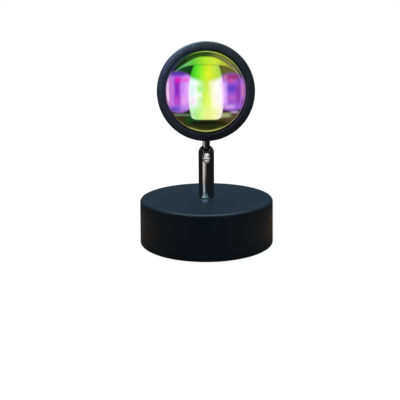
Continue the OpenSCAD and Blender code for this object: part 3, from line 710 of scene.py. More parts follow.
# ---- Lead grommet, inner lead and its tie ----
# A soft rubber grommet lines the hole in the back wall, with a flange on each side and a short tapered tail.
# The inner lead runs from it to the post, and a nylon tie behind the grommet takes the pull.
grommet_low, grommet_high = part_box("lead_grommet")
grommet_bore_r = 1.9 * mm
grommet_neck_r = 3.85 * mm
grommet_flange_r = 5.5 * mm
wall_y = can_r - can_lean * (inlet_z - can_low.z) / can_height
inner_seat = wall_y - can_wall - 0.42 * mm
outer_seat = wall_y + 0.07 * mm
flange_t = 1 * mm
tail_r = grommet_bore_r + 1 * mm
tail_root_r = tail_r + 0.6 * mm
tail_tip_r = tail_r + 0.15 * mm
tail_root = 2.0 * mm
tail_tip = 0.9 * mm
soft_edge = 0.3 * mm
rubber_black, rubber_black_mottle = (0.012, 0.012, 0.012, 1), (0.018, 0.018, 0.018, 1)
lead_black, lead_black_mottle = (0.016, 0.016, 0.017, 1), (0.022, 0.022, 0.023, 1)
tie_ivory, tie_ivory_mottle = (0.70, 0.70, 0.66, 1), (0.76, 0.76, 0.73, 1)

outline = [(grommet_bore_r, grommet_low.y), (grommet_flange_r - soft_edge, grommet_low.y)]
outline += [(grommet_flange_r, grommet_low.y + soft_edge), (grommet_flange_r, inner_seat)]
outline += [(grommet_neck_r, inner_seat), (grommet_neck_r, outer_seat), (grommet_flange_r, outer_seat)]
outline += arc((grommet_flange_r - flange_t, outer_seat + flange_t / 2), flange_t, 0, 75, 6)
outline += [(tail_root_r, outer_seat + tail_root), (tail_tip_r, grommet_high.y - tail_tip)]
outline += arc((tail_r - soft_edge, grommet_high.y - soft_edge), soft_edge, 0, 90, 4)
outline += [(grommet_bore_r + soft_edge, grommet_high.y), (grommet_bore_r, grommet_high.y - soft_edge)]
grommet = turned("rubber_grommet", outline, towards_back, segments=96)
rubber, *_ = finish_of("black_rubber", rubber_black, rubber_black_mottle, roughness=0.62, varied=0.08,
                       grain=0.3 * mm, relief=0.02 * mm, dust=0.15)
grommet.data.materials.append(rubber)
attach(grommet, "stand")
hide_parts("lead_grommet")
lead_jacket, *_ = finish_of("lead_jacket", lead_black, lead_black_mottle, roughness=0.40, varied=0.05,
                            grain=0.5 * mm, relief=0.01 * mm)
tie_nylon, *_ = finish_of("tie_nylon", tie_ivory, tie_ivory_mottle, roughness=0.38, varied=0.05,
                          grain=0.6 * mm, relief=0.01 * mm)
for lead in ("base_lead", "neck_lead", "head_lead"):
    refinish(lead, lead_jacket)
refinish("lead_tie", tie_nylon)

# ---- Head housing ----
# A tube of aluminium, turned and powder-coated satin black. The front bezel slides over a spigot on it, and a
# flat spot with a hole underneath takes the stud.
housing_back = -12 * mm
housing_front = 27.8 * mm
housing_wall = 3.5 * mm
housing_bore_r = head_r - housing_wall
spigot_r = 30.35 * mm
spigot_front = 33.0 * mm
spigot_bore_r = 29.35 * mm
ring_back = 26.0 * mm
turned_chamfer = 0.4 * mm
seam_round = 0.15 * mm
spot_r = collar_r + 0.4 * mm
stud_hole_r = thread_r + 0.05 * mm
housing_low = head_z - head_r
spot_cut_past = 2 * mm
hole_cut_to = head_z - 10 * mm
head_black, head_black_mottle = (0.020, 0.019, 0.020, 1), (0.024, 0.023, 0.024, 1)


def on_head(x, y, along):
    """The place of a point of a piece that is turned about the lens's axis, along which the light's way is
    positive."""
    return (x, -along, head_z + y)


outline = arc((head_r - turned_chamfer, housing_back + turned_chamfer), turned_chamfer, -90, 0, 5)
outline += arc((head_r - seam_round, housing_front - seam_round), seam_round, 0, 90, 3)
outline += [(spigot_r, housing_front), (spigot_r, spigot_front), (spigot_bore_r, spigot_front)]
outline += [(spigot_bore_r, ring_back), (housing_bore_r, ring_back), (housing_bore_r, housing_back)]
housing = turned("head_tube", outline, on_head, segments=256)
stud_hole = [(0, housing_low - spot_cut_past), (spot_r, housing_low - spot_cut_past)]
stud_hole += [(spot_r, housing_low + spot_depth), (stud_hole_r, housing_low + spot_depth)]
stud_hole += [(stud_hole_r, hole_cut_to), (0, hole_cut_to)]
cut(housing, turned("stud_hole", stud_hole, segments=64))
head_coat, *_ = finish_of("satin_black_head_coat", tone=head_black, mottle=head_black_mottle, roughness=0.34,
                          bare=(coat_bare, 0.3 * mm, 0.25), **coat)
housing.data.materials.append(head_coat)
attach(housing, "head")
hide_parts("head_housing")
refinish("stud_washer", bright_zinc)
refinish("stud_nut", bright_zinc)

# ---- Heat sink ----
# The back of the head is one turned block of aluminium: a plug that closes the housing, round cooling fins
# and a hollow with two bosses for the driver board. It is drilled for the wires and the screws, and coated
# satin black.
sink_back = -34 * mm
sink_face = -6 * mm
plug_r = housing_bore_r - 0.2 * mm
fin_root_r = 26.5 * mm
fin_root_lap = 0.3 * mm
fin_count = 5
fin_pitch = 5 * mm
fin_t = 2 * mm
fin_edge = 0.35 * mm
cavity_r = 21.5 * mm
cavity_front = -16 * mm
cover_seat = -32.2 * mm
rear_cover_r = 26.2 * mm
cover_recess_r = rear_cover_r + 0.2 * mm
rim_chamfer = 0.15 * mm
board_front = cavity_front - 6 * mm
boss_r = 2.4 * mm
boss_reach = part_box("driver_screws")[1].x - 1.8 * mm
boss_root = 0.5 * mm
led_screw_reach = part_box("led_screws")[1].x - 1.9 * mm
led_hole_r = 1.25 * mm
led_hole_depth = 6 * mm
wire_hole_r = 1.6 * mm
wire_hole_reach = cavity_r - wire_hole_r - 0.4 * mm
small_hole_r = 1.05 * mm
driver_hole_depth = 5 * mm
rear_hole_depth = 7.8 * mm
drill_past = 1 * mm
rear_screw_count = 3
rear_screw_first, rear_screw_last = 90, 330
rear_screw_reach = cavity_r + 2.1 * mm
rear_screw_places = arc((0, 0), rear_screw_reach, rear_screw_first, rear_screw_last, rear_screw_count - 1)
turn_off_edges, turn_further = 0.05, 0.11

outline = [(0, sink_face), (plug_r - fin_edge, sink_face), (plug_r, sink_face - fin_edge)]
outline += [(plug_r, housing_back), (fin_root_r, housing_back)]
outline += [(fin_root_r, sink_back + rim_chamfer), (cover_recess_r, sink_back)]
outline += [(cover_recess_r, cover_seat), (cavity_r, cover_seat), (cavity_r, cavity_front), (0, cavity_front)]
sink = turned("sink_block", outline, on_head)


def beside_axis(x0, y0, turn=0.0):
    """Returns where a point goes that is turned about an axis beside the lens's, at x0, y0 from it."""
    c, s = math.cos(turn), math.sin(turn)
    return lambda x, y, along: on_head(x0 + c * x - s * y, y0 + s * x + c * y, along)


def bar(x0, y0, radius, back, front, turn=turn_off_edges):
    """A round bar beside the lens's axis, at x0, y0 from it. It is turned a little, so that its corners keep
    clear of the edges of the piece that it cuts."""
    outline = [(0, back), (radius, back), (radius, front), (0, front)]
    return turned("bar", outline, beside_axis(x0, y0, turn), segments=48)


sides = (-1, 1)
bosses = [bar(side * boss_reach, 0, boss_r, board_front, cavity_front + boss_root) for side in sides]
cut(sink, *bosses, operation="UNION")
holes = [bar(0, side * wire_hole_reach, wire_hole_r, cavity_front - drill_past, sink_face + drill_past)
         for side in sides]
holes += [bar(side * led_screw_reach, 0, led_hole_r, sink_face - led_hole_depth, sink_face + drill_past)
          for side in sides]
holes += [bar(side * boss_reach, 0, small_hole_r, board_front - drill_past, board_front + driver_hole_depth,
              turn_further) for side in sides]
holes += [bar(x0, y0, small_hole_r, cover_seat - drill_past, sink_back + rear_hole_depth)
          for x0, y0 in rear_screw_places]
cut(sink, *holes)

socket_kinds = {int: "NodeSocketInt", float: "NodeSocketFloat", bpy.types.Material: "NodeSocketMaterial",
                bpy.types.Object: "NodeSocketObject"}


def shape_tree(name, inputs):
    """An empty Geometry Nodes tree with named inputs. Returns it, what is given to it, and its output node."""
    group = bpy.data.node_groups.new(name, "GeometryNodeTree")
    for label, value in inputs.items():
        group.interface.new_socket(label, in_out="INPUT", socket_type=socket_kinds[type(value)])
    group.interface.new_socket("Geometry", in_out="OUTPUT", socket_type="NodeSocketGeometry")
    return group, add(group, "NodeGroupInput").outputs, add(group, "NodeGroupOutput")


def grow(name, group, inputs, matrix):
    """A piece made by a Geometry Nodes tree with its inputs given, as a plain mesh in its place."""
    piece = bpy.data.objects.new(name, bpy.data.meshes.new(name))
    bpy.context.scene.collection.objects.link(piece)
    modifier = piece.modifiers.new("shape", "NODES")
    modifier.node_group = group
    for item in group.interface.items_tree:
        if item.in_out == "INPUT":
            modifier[item.identifier] = inputs[item.name]
    apply_modifiers(piece)
    piece.data.transform(matrix)
    return piece


def chain(tree, *nodes):
    """Links each node's first output to the next node's first input."""
    for one, other in zip(nodes, nodes[1:]):
        tree.links.new(one.outputs[0], other.inputs[0])


def axis_vector(tree, axis, value):
    """A vector along one axis."""
    return add(tree, "ShaderNodeCombineXYZ", {axis: value}).outputs["Vector"]


fins = {"Fins": fin_count, "Pitch": -fin_pitch, "Thickness": fin_t, "Radius": head_r,
        "Root Radius": fin_root_r - fin_root_lap, "Edge": fin_edge, "First": housing_back - fin_t / 2,
        "Finish": head_coat}
tree, given, result = shape_tree("cooling_fins", fins)
middle = times(tree, plus(tree, given["Radius"], given["Root Radius"]), 0.5)
width = calculate(tree, "SUBTRACT", given["Radius"], given["Root Radius"])
path = add(tree, "GeometryNodeCurvePrimitiveCircle", {"Resolution": 192, "Radius": middle}, mode="RADIUS")
section = add(tree, "GeometryNodeCurvePrimitiveQuadrilateral", {"Width": width, "Height": given["Thickness"]},
              mode="RECTANGLE")
rounded = add(tree, "GeometryNodeFilletCurve", {0: section.outputs[0], "Count": 3, "Radius": given["Edge"]},
              mode="POLY")
swept = add(tree, "GeometryNodeCurveToMesh", {"Curve": path.outputs[0], "Profile Curve": rounded.outputs[0]})
steps = add(tree, "GeometryNodeMeshLine", {
    "Count": given["Fins"], "Start Location": axis_vector(tree, "Z", given["First"]),
    "Offset": axis_vector(tree, "Z", given["Pitch"])}, mode="OFFSET", count_mode="TOTAL")
copies = add(tree, "GeometryNodeInstanceOnPoints", {"Points": steps.outputs[0], "Instance": swept.outputs[0]})
real = add(tree, "GeometryNodeRealizeInstances")
finish = add(tree, "GeometryNodeSetMaterial", {"Material": given["Finish"]})
chain(tree, copies, real, finish, result)
head_frame = Matrix.Translation((0, 0, head_z)) @ Matrix.Rotation(math.pi / 2, 4, "X")
cooling_fins = grow("cooling_fins", tree, fins, head_frame)
sink.data.materials.append(head_coat)
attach(sink, "head")
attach(cooling_fins, "head")
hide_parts("heat_sink")

# ---- Driver board and its screws ----
# A small green circuit board on two bosses in the back of the heat sink, with a coil, a capacitor and a chip.
# Copper tracks show through the solder mask as a paler green.
mask_green, mask_green_mottle = (0.010, 0.085, 0.030, 1), (0.013, 0.100, 0.036, 1)
track_green = (0.03, 0.20, 0.07, 1)
tracks_per_metre = 260
track_width = 0.06
resin_black, resin_black_mottle = (0.014, 0.014, 0.015, 1), (0.022, 0.022, 0.024, 1)

board_mask, tree, shader, place, bump = finish_of(
    "green_solder_mask", mask_green, mask_green_mottle, roughness=0.28, varied=0.04, grain=0.5 * mm,
    relief=0.004 * mm)
tracks = add(tree, "ShaderNodeTexBrick", {
    "Vector": place, "Scale": tracks_per_metre, "Mortar Size": track_width})
lay_over(tree, shader, tracks.outputs["Fac"], track_green)
black_resin, *_ = finish_of("black_resin", resin_black, resin_black_mottle, roughness=0.48, varied=0.08,
                            grain=0.2 * mm, relief=0.012 * mm)
refinish("driver_board", board_mask)
refinish("driver_parts", black_resin)
refinish("driver_screws", bright_zinc)

# ---- Rear cover and its screws ----
# A flat aluminium disc with eight radial vents closes the back. Three small cross-head screws sit in
# counterbores in its rim.
cover_back = sink_back
cover_t = 1.8 * mm
vent_count = 8
vent_w = 2 * mm
vent_in = 9 * mm
vent_out = cavity_r - 2 * mm
vent_end_to_width = 0.499
weld_within = 0.002 * mm
rear_screw_sink = 1 * mm
rear_head_r = 1.8 * mm
counterbore_r = rear_head_r + 0.15 * mm
cover_hole_r = 1.2 * mm
cover_cut_to = cover_back + 3 * mm

vents = {"Radius": rear_cover_r, "Thickness": cover_t, "Vents": vent_count, "Vent Width": vent_w,
         "Vent Length": vent_out - vent_in + vent_w, "Vent Reach": (vent_out + vent_in) / 2,
         "Finish": head_coat}
tree, given, result = shape_tree("vented_disc", vents)
rim = add(tree, "GeometryNodeCurvePrimitiveCircle", {"Resolution": 128, "Radius": given["Radius"]},
          mode="RADIUS")
slot = add(tree, "GeometryNodeCurvePrimitiveQuadrilateral",
           {"Width": given["Vent Length"], "Height": given["Vent Width"]}, mode="RECTANGLE")
ends = add(tree, "GeometryNodeFilletCurve",
           {"Count": 8, "Radius": times(tree, given["Vent Width"], vent_end_to_width)}, mode="POLY")
moved = add(tree, "GeometryNodeTransform", {"Translation": axis_vector(tree, "X", given["Vent Reach"])})
spokes = add(tree, "GeometryNodePoints", {"Count": given["Vents"]})
number = add(tree, "GeometryNodeInputIndex").outputs["Index"]
share = calculate(tree, "DIVIDE", plus(tree, number, 0.5), given["Vents"])
around = add(tree, "GeometryNodeInstanceOnPoints", {
    "Points": spokes.outputs[0], "Instance": moved.outputs[0],
    "Rotation": axis_vector(tree, "Z", times(tree, share, 2 * math.pi))})
real = add(tree, "GeometryNodeRealizeInstances")
joined = add(tree, "GeometryNodeJoinGeometry")
filled = add(tree, "GeometryNodeFillCurve", mode="TRIANGLES")
raised = add(tree, "GeometryNodeExtrudeMesh", {"Individual": False, "Offset Scale": given["Thickness"]},
             mode="FACES")
back = add(tree, "GeometryNodeFlipFaces")
closed = add(tree, "GeometryNodeJoinGeometry")
welded = add(tree, "GeometryNodeMergeByDistance", {"Distance": weld_within})
finish = add(tree, "GeometryNodeSetMaterial", {"Material": given["Finish"]})
chain(tree, slot, ends, moved)
chain(tree, around, real, joined, filled, raised, closed, welded, finish, result)
chain(tree, rim, joined)
chain(tree, filled, back, closed)
rear_cover = grow("vented_rear_cover", tree, vents, head_frame @ Matrix.Translation((0, 0, cover_back)))
counterbore = [(0, cover_back - drill_past), (counterbore_r, cover_back - drill_past)]
counterbore += [(counterbore_r, cover_back + rear_screw_sink), (cover_hole_r, cover_back + rear_screw_sink)]
counterbore += [(cover_hole_r, cover_cut_to), (0, cover_cut_to)]
cut(rear_cover, *[turned("counterbore", counterbore, beside_axis(x0, y0), segments=48)
                  for x0, y0 in rear_screw_places])
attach(rear_cover, "head")
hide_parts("rear_cover")

# One screw: a low domed head with a cross recess, and a plain shank. The head goes down from its seat, at 0
screw_shank_r = 1 * mm
screw_length = 5 * mm
screw_tip = 0.4 * mm
screw_head_h = 1 * mm
head_dome_r = 7 * mm
head_dome_reach = 1.45 * mm
head_rim_r = 0.3 * mm
head_rim_from_top = 0.47 * mm
recess_w = 0.42 * mm
recess_reach = 1.15 * mm
recess_depth = 0.65 * mm
outline = [(0, -screw_head_h)]
outline += arc((0, head_dome_r - screw_head_h), head_dome_r, -88,
               -90 + math.degrees(math.asin(head_dome_reach / head_dome_r)), 4)
outline += arc((rear_head_r - head_rim_r, head_rim_from_top - screw_head_h), head_rim_r, -75, 0, 4)
outline += [(rear_head_r, 0), (screw_shank_r, 0), (screw_shank_r, screw_length - screw_tip)]
outline += [(screw_shank_r - screw_tip, screw_length), (0, screw_length)]
screw = turned("small_screw", outline, segments=48)
arms = []
for angle in (0, 90):
    bpy.ops.mesh.primitive_cube_add(size=1)
    arm = bpy.context.object
    size = Matrix.Diagonal((2 * recess_reach, recess_w, 2 * recess_depth, 1))
    on_top = Matrix.Translation((0, 0, -screw_head_h))
    arm.data.transform(Matrix.Rotation(math.radians(angle), 4, "Z") @ on_top @ size)
    arms.append(arm)
cut(screw, *arms)

screws = {"Screw": screw, "Screws": rear_screw_count, "Reach": rear_screw_reach,
          "First Angle": math.radians(rear_screw_first), "Finish": bright_zinc}
tree, given, result = shape_tree("screw_circle", screws)
number = add(tree, "GeometryNodeInputIndex").outputs["Index"]
share = calculate(tree, "DIVIDE", number, given["Screws"])
angle = plus(tree, times(tree, share, 2 * math.pi), given["First Angle"])
spot = add(tree, "ShaderNodeCombineXYZ", {
    "X": times(tree, calculate(tree, "COSINE", angle), given["Reach"]),
    "Y": times(tree, calculate(tree, "SINE", angle), given["Reach"])})
spots = add(tree, "GeometryNodePoints", {"Count": given["Screws"], "Position": spot.outputs["Vector"]})
# Each is tightened to an angle of its own, up to half a turn, which is input 3
tightened = add(tree, "FunctionNodeRandomValue", {3: math.pi, "Seed": 7}, data_type="FLOAT")
template = add(tree, "GeometryNodeObjectInfo", {"Object": given["Screw"]}, transform_space="ORIGINAL")
copies = add(tree, "GeometryNodeInstanceOnPoints", {
    "Points": spots.outputs[0], "Instance": template.outputs["Geometry"],
    "Rotation": axis_vector(tree, "Z", tightened.outputs[1])})
real = add(tree, "GeometryNodeRealizeInstances")
finish = add(tree, "GeometryNodeSetMaterial", {"Material": given["Finish"]})
chain(tree, copies, real, finish, result)
seat = Matrix.Translation((0, 0, cover_back + rear_screw_sink))
rear_screws = grow("rear_cover_screws", tree, screws, head_frame @ seat)
bpy.data.objects.remove(screw)
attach(rear_screws, "head")
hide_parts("rear_screws")

# ---- LED, its board, wires and pad ----
# A yellow phosphor LED on a white aluminium-core board, screwed to the heat sink over a grey silicone pad.
# Two thin wires go through the heat sink to the driver board.
mask_white, mask_white_mottle = (0.74, 0.74, 0.71, 1), (0.80, 0.80, 0.78, 1)
phosphor_yellow, phosphor_yellow_mottle = (0.80, 0.56, 0.05, 1), (0.88, 0.68, 0.10, 1)
silicone_grey, silicone_grey_mottle = (0.20, 0.24, 0.26, 1), (0.26, 0.30, 0.32, 1)
sleeve_red, sleeve_red_mottle = (0.42, 0.025, 0.018, 1), (0.50, 0.035, 0.025, 1)
weave_per_metre = 900

white_mask, *_ = finish_of("white_solder_mask", mask_white, mask_white_mottle, roughness=0.34, varied=0.05,
                           grain=0.5 * mm, relief=0.005 * mm)
phosphor, *_ = finish_of("phosphor_silicone", phosphor_yellow, phosphor_yellow_mottle, roughness=0.20,
                         varied=0.04, grain=0.3 * mm, relief=0.01 * mm)
silicone, tree, shader, place, bump = finish_of(
    "grey_silicone", silicone_grey, silicone_grey_mottle, roughness=0.66, varied=0.06, grain=0.3 * mm,
    relief=0.02 * mm)
weave = add(tree, "ShaderNodeTexBrick", {"Vector": place, "Scale": weave_per_metre})
add_relief(tree, bump, weave.outputs["Fac"])
wire_sleeve, *_ = finish_of("red_wire_sleeve", sleeve_red, sleeve_red_mottle, roughness=0.36, varied=0.05,
                            grain=0.3 * mm, relief=0.006 * mm)
refinish("led_board", white_mask)
refinish("led_emitter", phosphor)
refinish("led_screws", bright_zinc)
refinish("led_wires", wire_sleeve)
refinish("thermal_pad", silicone)

# ---- Reflector and filter ring ----
# A moulded bowl with a vacuum-metallised mirror inside gathers the LED's light. A black plastic ring in front
# of it holds the filter and the lens against the bezel.
mirror_silver, mirror_silver_mottle = (0.80, 0.81, 0.82, 1), (0.84, 0.85, 0.86, 1)
moulded_tone, moulded_mottle = (0.010, 0.010, 0.011, 1), (0.015, 0.015, 0.016, 1)

mirror_coat, *_ = finish_of("metallised_bowl", mirror_silver, mirror_silver_mottle, roughness=0.07,
                            varied=0.02, grain=1.5 * mm, relief=0.006 * mm, metallic=1.0)
moulded_black, *_ = finish_of("moulded_black", moulded_tone, moulded_mottle, roughness=0.50, varied=0.06,
                              grain=0.25 * mm, relief=0.02 * mm)
refinish("reflector", mirror_coat)
refinish("filter_ring", moulded_black)

# ---- Colour filter ----
# A glass disc in the colour filter's place, with its dichroic colours and with painted light in them: painted
# reflections of the softboxes and of the reflector, violet at the sides and yellow-green down the middle, and
# painted highlights and shade at the lens's rim. Its glow is painted light too. The dome in front enlarges it,
# so its pattern is drawn as it is seen through the dome and shrunk by the dome's enlargement.
filter_low, filter_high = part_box("color_filter")
filter_r = filter_high.x
filter_edge = 0.2 * mm
filter_back = -filter_high.y
filter_front = -filter_low.y
# How brightly the disc glows with its painted light
filter_painted_glow = 1.05
filter_black = (0.01, 0.01, 0.012, 1)
# The enlargement at the middle, and how it changes with the distance's square and fourth power
enlarged_at_middle, enlarged_by_square, enlarged_by_fourth = 1.187, -1.42e-4, -1.28e-7


def tint(red, green, blue):
    """A colour from its screen values, 0 to 255."""
    shares = [value / 255 for value in (red, green, blue)]
    return (*[(s / 12.92 if s < 0.0405 else ((s + 0.055) / 1.055) ** 2.4) for s in shares], 1)


def minus(tree, a, b):
    """What is left of a value when another is taken off."""
    return calculate(tree, "SUBTRACT", a, b)


def size_of(value):
    """A value without its sign."""
    return calculate(tree, "ABSOLUTE", value)


def squared(value):
    """A value times itself."""
    return calculate(tree, "POWER", value, 2.0)


outline = [(0, filter_back), (filter_r - filter_edge, filter_back), (filter_r, filter_back + filter_edge)]
outline += [(filter_r, filter_front - filter_edge), (filter_r - filter_edge, filter_front), (0, filter_front)]
colour_disc = turned("dichroic_disc", outline, on_head, segments=128)
material, tree, shader, place = shaded_material("dichroic_coating", {
    "Base Color": filter_black, "Roughness": 0.12, "Emission Strength": filter_painted_glow})
in_mm = add(tree, "ShaderNodeMapping", {
    "Vector": place, "Location": (0, 0, -head_z / mm), "Scale": (1 / mm, 1 / mm, 1 / mm)})
from_axis = split(tree, in_mm.outputs["Vector"])
square = plus(tree, squared(from_axis["X"]), squared(from_axis["Z"]))
enlarged = calculate(tree, "MULTIPLY_ADD", square, enlarged_by_fourth, enlarged_by_square)
enlarged = calculate(tree, "MULTIPLY_ADD", square, enlarged, enlarged_at_middle)
u = times(tree, from_axis["X"], enlarged)
v = times(tree, from_axis["Z"], enlarged)


def inside(value, middle, half, blur):
    """1 within half of a middle value, and 0 further out, with an edge of the width blur."""
    return spread(tree, size_of(minus(tree, value, middle)), half + blur / 2, half - blur / 2, smooth=True)


def distance_from(u0, v0):
    """How far a point of the pattern is from u0, v0."""
    return calculate(tree, "SQRT", plus(tree, squared(minus(tree, u, u0)), squared(minus(tree, v, v0))))


def lay(colour, patches, across=u):
    """Lays soft patches over a colour, in their order."""
    for (u0, v0), (half_u, half_v), (blur_u, blur_v), patch in patches:
        mask = times(tree, inside(across, u0, half_u, blur_u), inside(v, v0, half_v, blur_v))
        colour = blend_colours(tree, mask, colour, tint(*patch))
    return colour


def hues(value, stops):
    """A colour that goes through stops of (value from 0 to 1, colour in screen values)."""
    return ramp(tree, value, [(at, tint(*colour)) for at, colour in stops])


def band(colour, middle, half, blur, height, bow, tone, patches):
    """Lays a violet band of painted reflection over a colour: its ends are curved, and its own patches lie
    inside it.
    """
    reach = plus(tree, size_of(v), times(tree, squared(minus(tree, u, middle)), bow))
    mask = times(tree, inside(u, middle, half, blur), inside(reach, 0, height, 2.8))
    return blend_colours(tree, mask, colour, lay(tint(*tone), patches))


# Each patch of the painted reflections, in mm as seen: middle, half size, blur of its edges, colour
ground = (
    ((0, 25), (30, 5), (1, 6), (30, 70, 14)),
    ((14, 21), (9, 4.5), (9, 5), (104, 112, 30)),
    ((-13, 14.5), (5, 3.6), (5, 4), (14, 62, 18)),
    ((14.5, 13.5), (6.5, 3.6), (5, 4), (96, 98, 38)),
    ((0, -22), (30, 6), (1, 6), (38, 42, 12)),
    ((-12, -16.5), (8, 2.8), (6, 4), (22, 62, 26)),
    ((-17, -19), (4, 4), (5, 4), (44, 38, 16)),
    ((15, -16.5), (8, 3.2), (6, 4), (78, 62, 30)),
    ((-10.5, -18.0), (2.6, 1.6), (5, 4), (18, 74, 22)),
    ((1, -19.8), (11, 1.0), (6, 2.6), (12, 20, 5)),
)
left_reflection_band = (
    ((-12.2, 1), (2.6, 9.5), (3.0, 7), (222, 166, 248)),
    ((-25.0, 0), (0.9, 8), (1.4, 8), (240, 204, 232)),
    ((-22.4, 0), (1.0, 8.5), (2.0, 8), (204, 116, 214)),
    ((-18.7, 1), (1.9, 9.0), (2.6, 8), (142, 40, 192)),
    ((-18.8, -5.4), (1.8, 2.4), (2.0, 6), (190, 76, 200)),
    ((-14.6, 0.5), (1.2, 8), (3.0, 7), (204, 132, 240)),
    ((-14.4, -5.0), (1.4, 2.6), (3.2, 6), (240, 158, 236)),
    ((-18.8, 12.0), (6.5, 1.6), (5, 4.0), (78, 44, 174)),
    ((-17.8, 7.8), (2.1, 1.4), (3.0, 3.8), (220, 26, 180)),
    ((-13.0, 7.8), (1.8, 1.2), (3.2, 3.8), (232, 78, 204)),
    ((-20.4, -11.0), (3.8, 1.6), (4, 4.0), (100, 72, 198)),
    ((-13.2, -10.4), (2.0, 1.2), (4, 4), (172, 136, 226)),
)
right_reflection_band = (
    ((12.2, -1), (1.6, 8), (2.2, 7), (212, 164, 246)),
    ((17.4, 2.4), (3.4, 2.2), (5.0, 5.4), (100, 62, 196)),
    ((20.4, -1), (1.0, 5), (2.4, 7), (146, 52, 176)),
    ((16.6, -4.0), (2.6, 1.2), (4.4, 3.6), (190, 92, 194)),
    ((16.8, 9.8), (5.0, 1.8), (5.0, 5.0), (150, 54, 110)),
    ((16.2, 7.4), (2.4, 0.8), (4.4, 3.6), (212, 78, 160)),
    ((12.6, 9.4), (1.0, 1.0), (2.8, 4), (200, 140, 170)),
    ((15.4, -9.4), (3.2, 1.0), (4.0, 3.6), (216, 166, 240)),
    ((21.6, 2), (0.5, 9), (1.6, 6), (128, 60, 156)),
    ((24.2, 1.0), (1.3, 3.6), (2.4, 8), (190, 100, 170)),
    ((24.4, -8), (1.2, 2.4), (2.2, 6), (116, 52, 142)),
    ((24.0, 11), (2.0, 2.0), (3.0, 5), (66, 24, 60)),
)
low_painted_patches = (
    ((-15.5, -14.6), (6.0, 0.7), (5, 1.6), (96, 118, 92)),
    ((12.6, -14.9), (3.4, 1.4), (4, 2.4), (160, 166, 116)),
    ((18.5, -12.9), (2.4, 0.8), (3, 1.6), (176, 150, 176)),
)
colour = lay(tint(14, 18, 12), ground)
# The bright arc that caps the picture, a painted reflection of the overhead softbox, thick in the middle and
# fine at its ends
arc_middle, arc_radius = (0, -10.8), 31.0
thick = spread(tree, size_of(u), 3, 18, 2.3, 0.3, smooth=True)
off_arc = size_of(minus(tree, distance_from(*arc_middle), arc_radius))
on_arc = spread(tree, minus(tree, off_arc, thick), 0.7, -0.7, smooth=True)
on_arc = times(tree, on_arc, inside(u, 0.5, 21, 5))
arc_reflection_colour = hues(spread(tree, u, -22, 24), (
    (0.0, (60, 120, 120)), (0.16, (112, 190, 120)), (0.30, (96, 206, 60)), (0.47, (176, 230, 50)),
    (0.62, (206, 226, 60)), (0.80, (172, 166, 66)), (1.0, (150, 126, 100))))
colour = lay(blend_colours(tree, on_arc, colour, arc_reflection_colour), low_painted_patches)
colour = band(colour, -17.9, 8.2, 1.6, 13.0, 0.045, (190, 120, 226), left_reflection_band)
colour = band(colour, 16.6, 9.2, 2.0, 12.0, 0.036, (156, 88, 206), right_reflection_band)

# The barrel-shaped middle, a painted reflection: green and yellow above a soft curved border, and below it
# white at the sides with yellow-green down the middle, which widens to pale yellow at the foot
barrel_middle, barrel_half, barrel_bulge, widest_at = 0.2, 11.5, 0.0092, -2.0
border_middle, border_rise = 7.0, 2.4
foot_middle, foot_rise = -17.7, 1.5
half_width = minus(tree, barrel_half, times(tree, squared(minus(tree, v, widest_at)), barrel_bulge))
w = calculate(tree, "DIVIDE", minus(tree, u, barrel_middle), half_width)
share = spread(tree, w, -1, 1)
top_colour = hues(share, (
    (0.0, (64, 176, 40)), (0.14, (86, 222, 40)), (0.30, (132, 232, 40)), (0.46, (192, 236, 36)),
    (0.60, (216, 238, 44)), (0.80, (196, 230, 66)), (1.0, (160, 206, 84))))
middle_colour = hues(share, (
    (0.0, (240, 232, 255)), (0.08, (226, 246, 252)), (0.20, (238, 250, 240)), (0.32, (206, 246, 178)),
    (0.44, (198, 240, 88)), (0.54, (212, 242, 84)), (0.62, (240, 247, 170)), (0.74, (251, 250, 228)),
    (0.90, (254, 246, 250)), (1.0, (236, 196, 250))))
foot_colour = hues(share, (
    (0.0, (206, 240, 190)), (0.16, (166, 240, 140)), (0.34, (206, 244, 136)), (0.50, (234, 246, 138)),
    (0.75, (238, 246, 158)), (0.92, (246, 246, 200)), (1.0, (250, 240, 226))))
low_colour = blend_colours(tree, spread(tree, v, -5, -14, smooth=True), middle_colour, foot_colour)
low_colour = lay(low_colour, (
    ((-0.78, -5.5), (0.16, 2.2), (0.3, 4), (252, 226, 248)),
    ((-0.30, 2.2), (0.16, 1.6), (0.2, 2), (172, 240, 140)),
    ((-0.42, -2.0), (0.14, 1.2), (0.2, 2), (244, 250, 236)),
    ((0.10, -6.0), (0.16, 3.0), (0.3, 5), (222, 244, 104)),
), across=w)
top_colour = lay(top_colour, (((0.16, 11.3), (0.16, 1.0), (0.4, 3.5), (234, 238, 56)),), across=w)
border = plus(tree, times(tree, squared(w), border_rise), border_middle)
above = spread(tree, minus(tree, v, border), -1.8, 1.8, smooth=True)
barrel_reflection_colour = blend_colours(tree, above, low_colour, top_colour)
rounding = calculate(tree, "MULTIPLY_ADD", calculate(tree, "POWER", size_of(w), 8.0), foot_rise, foot_middle)
above_foot = spread(tree, minus(tree, v, rounding), -0.5, 0.5, smooth=True)
in_barrel = times(tree, inside(w, 0, 1.0, 0.10), above_foot)
in_barrel = times(tree, in_barrel, spread(tree, v, 20, 16, smooth=True))
colour = blend_colours(tree, in_barrel, colour, barrel_reflection_colour)

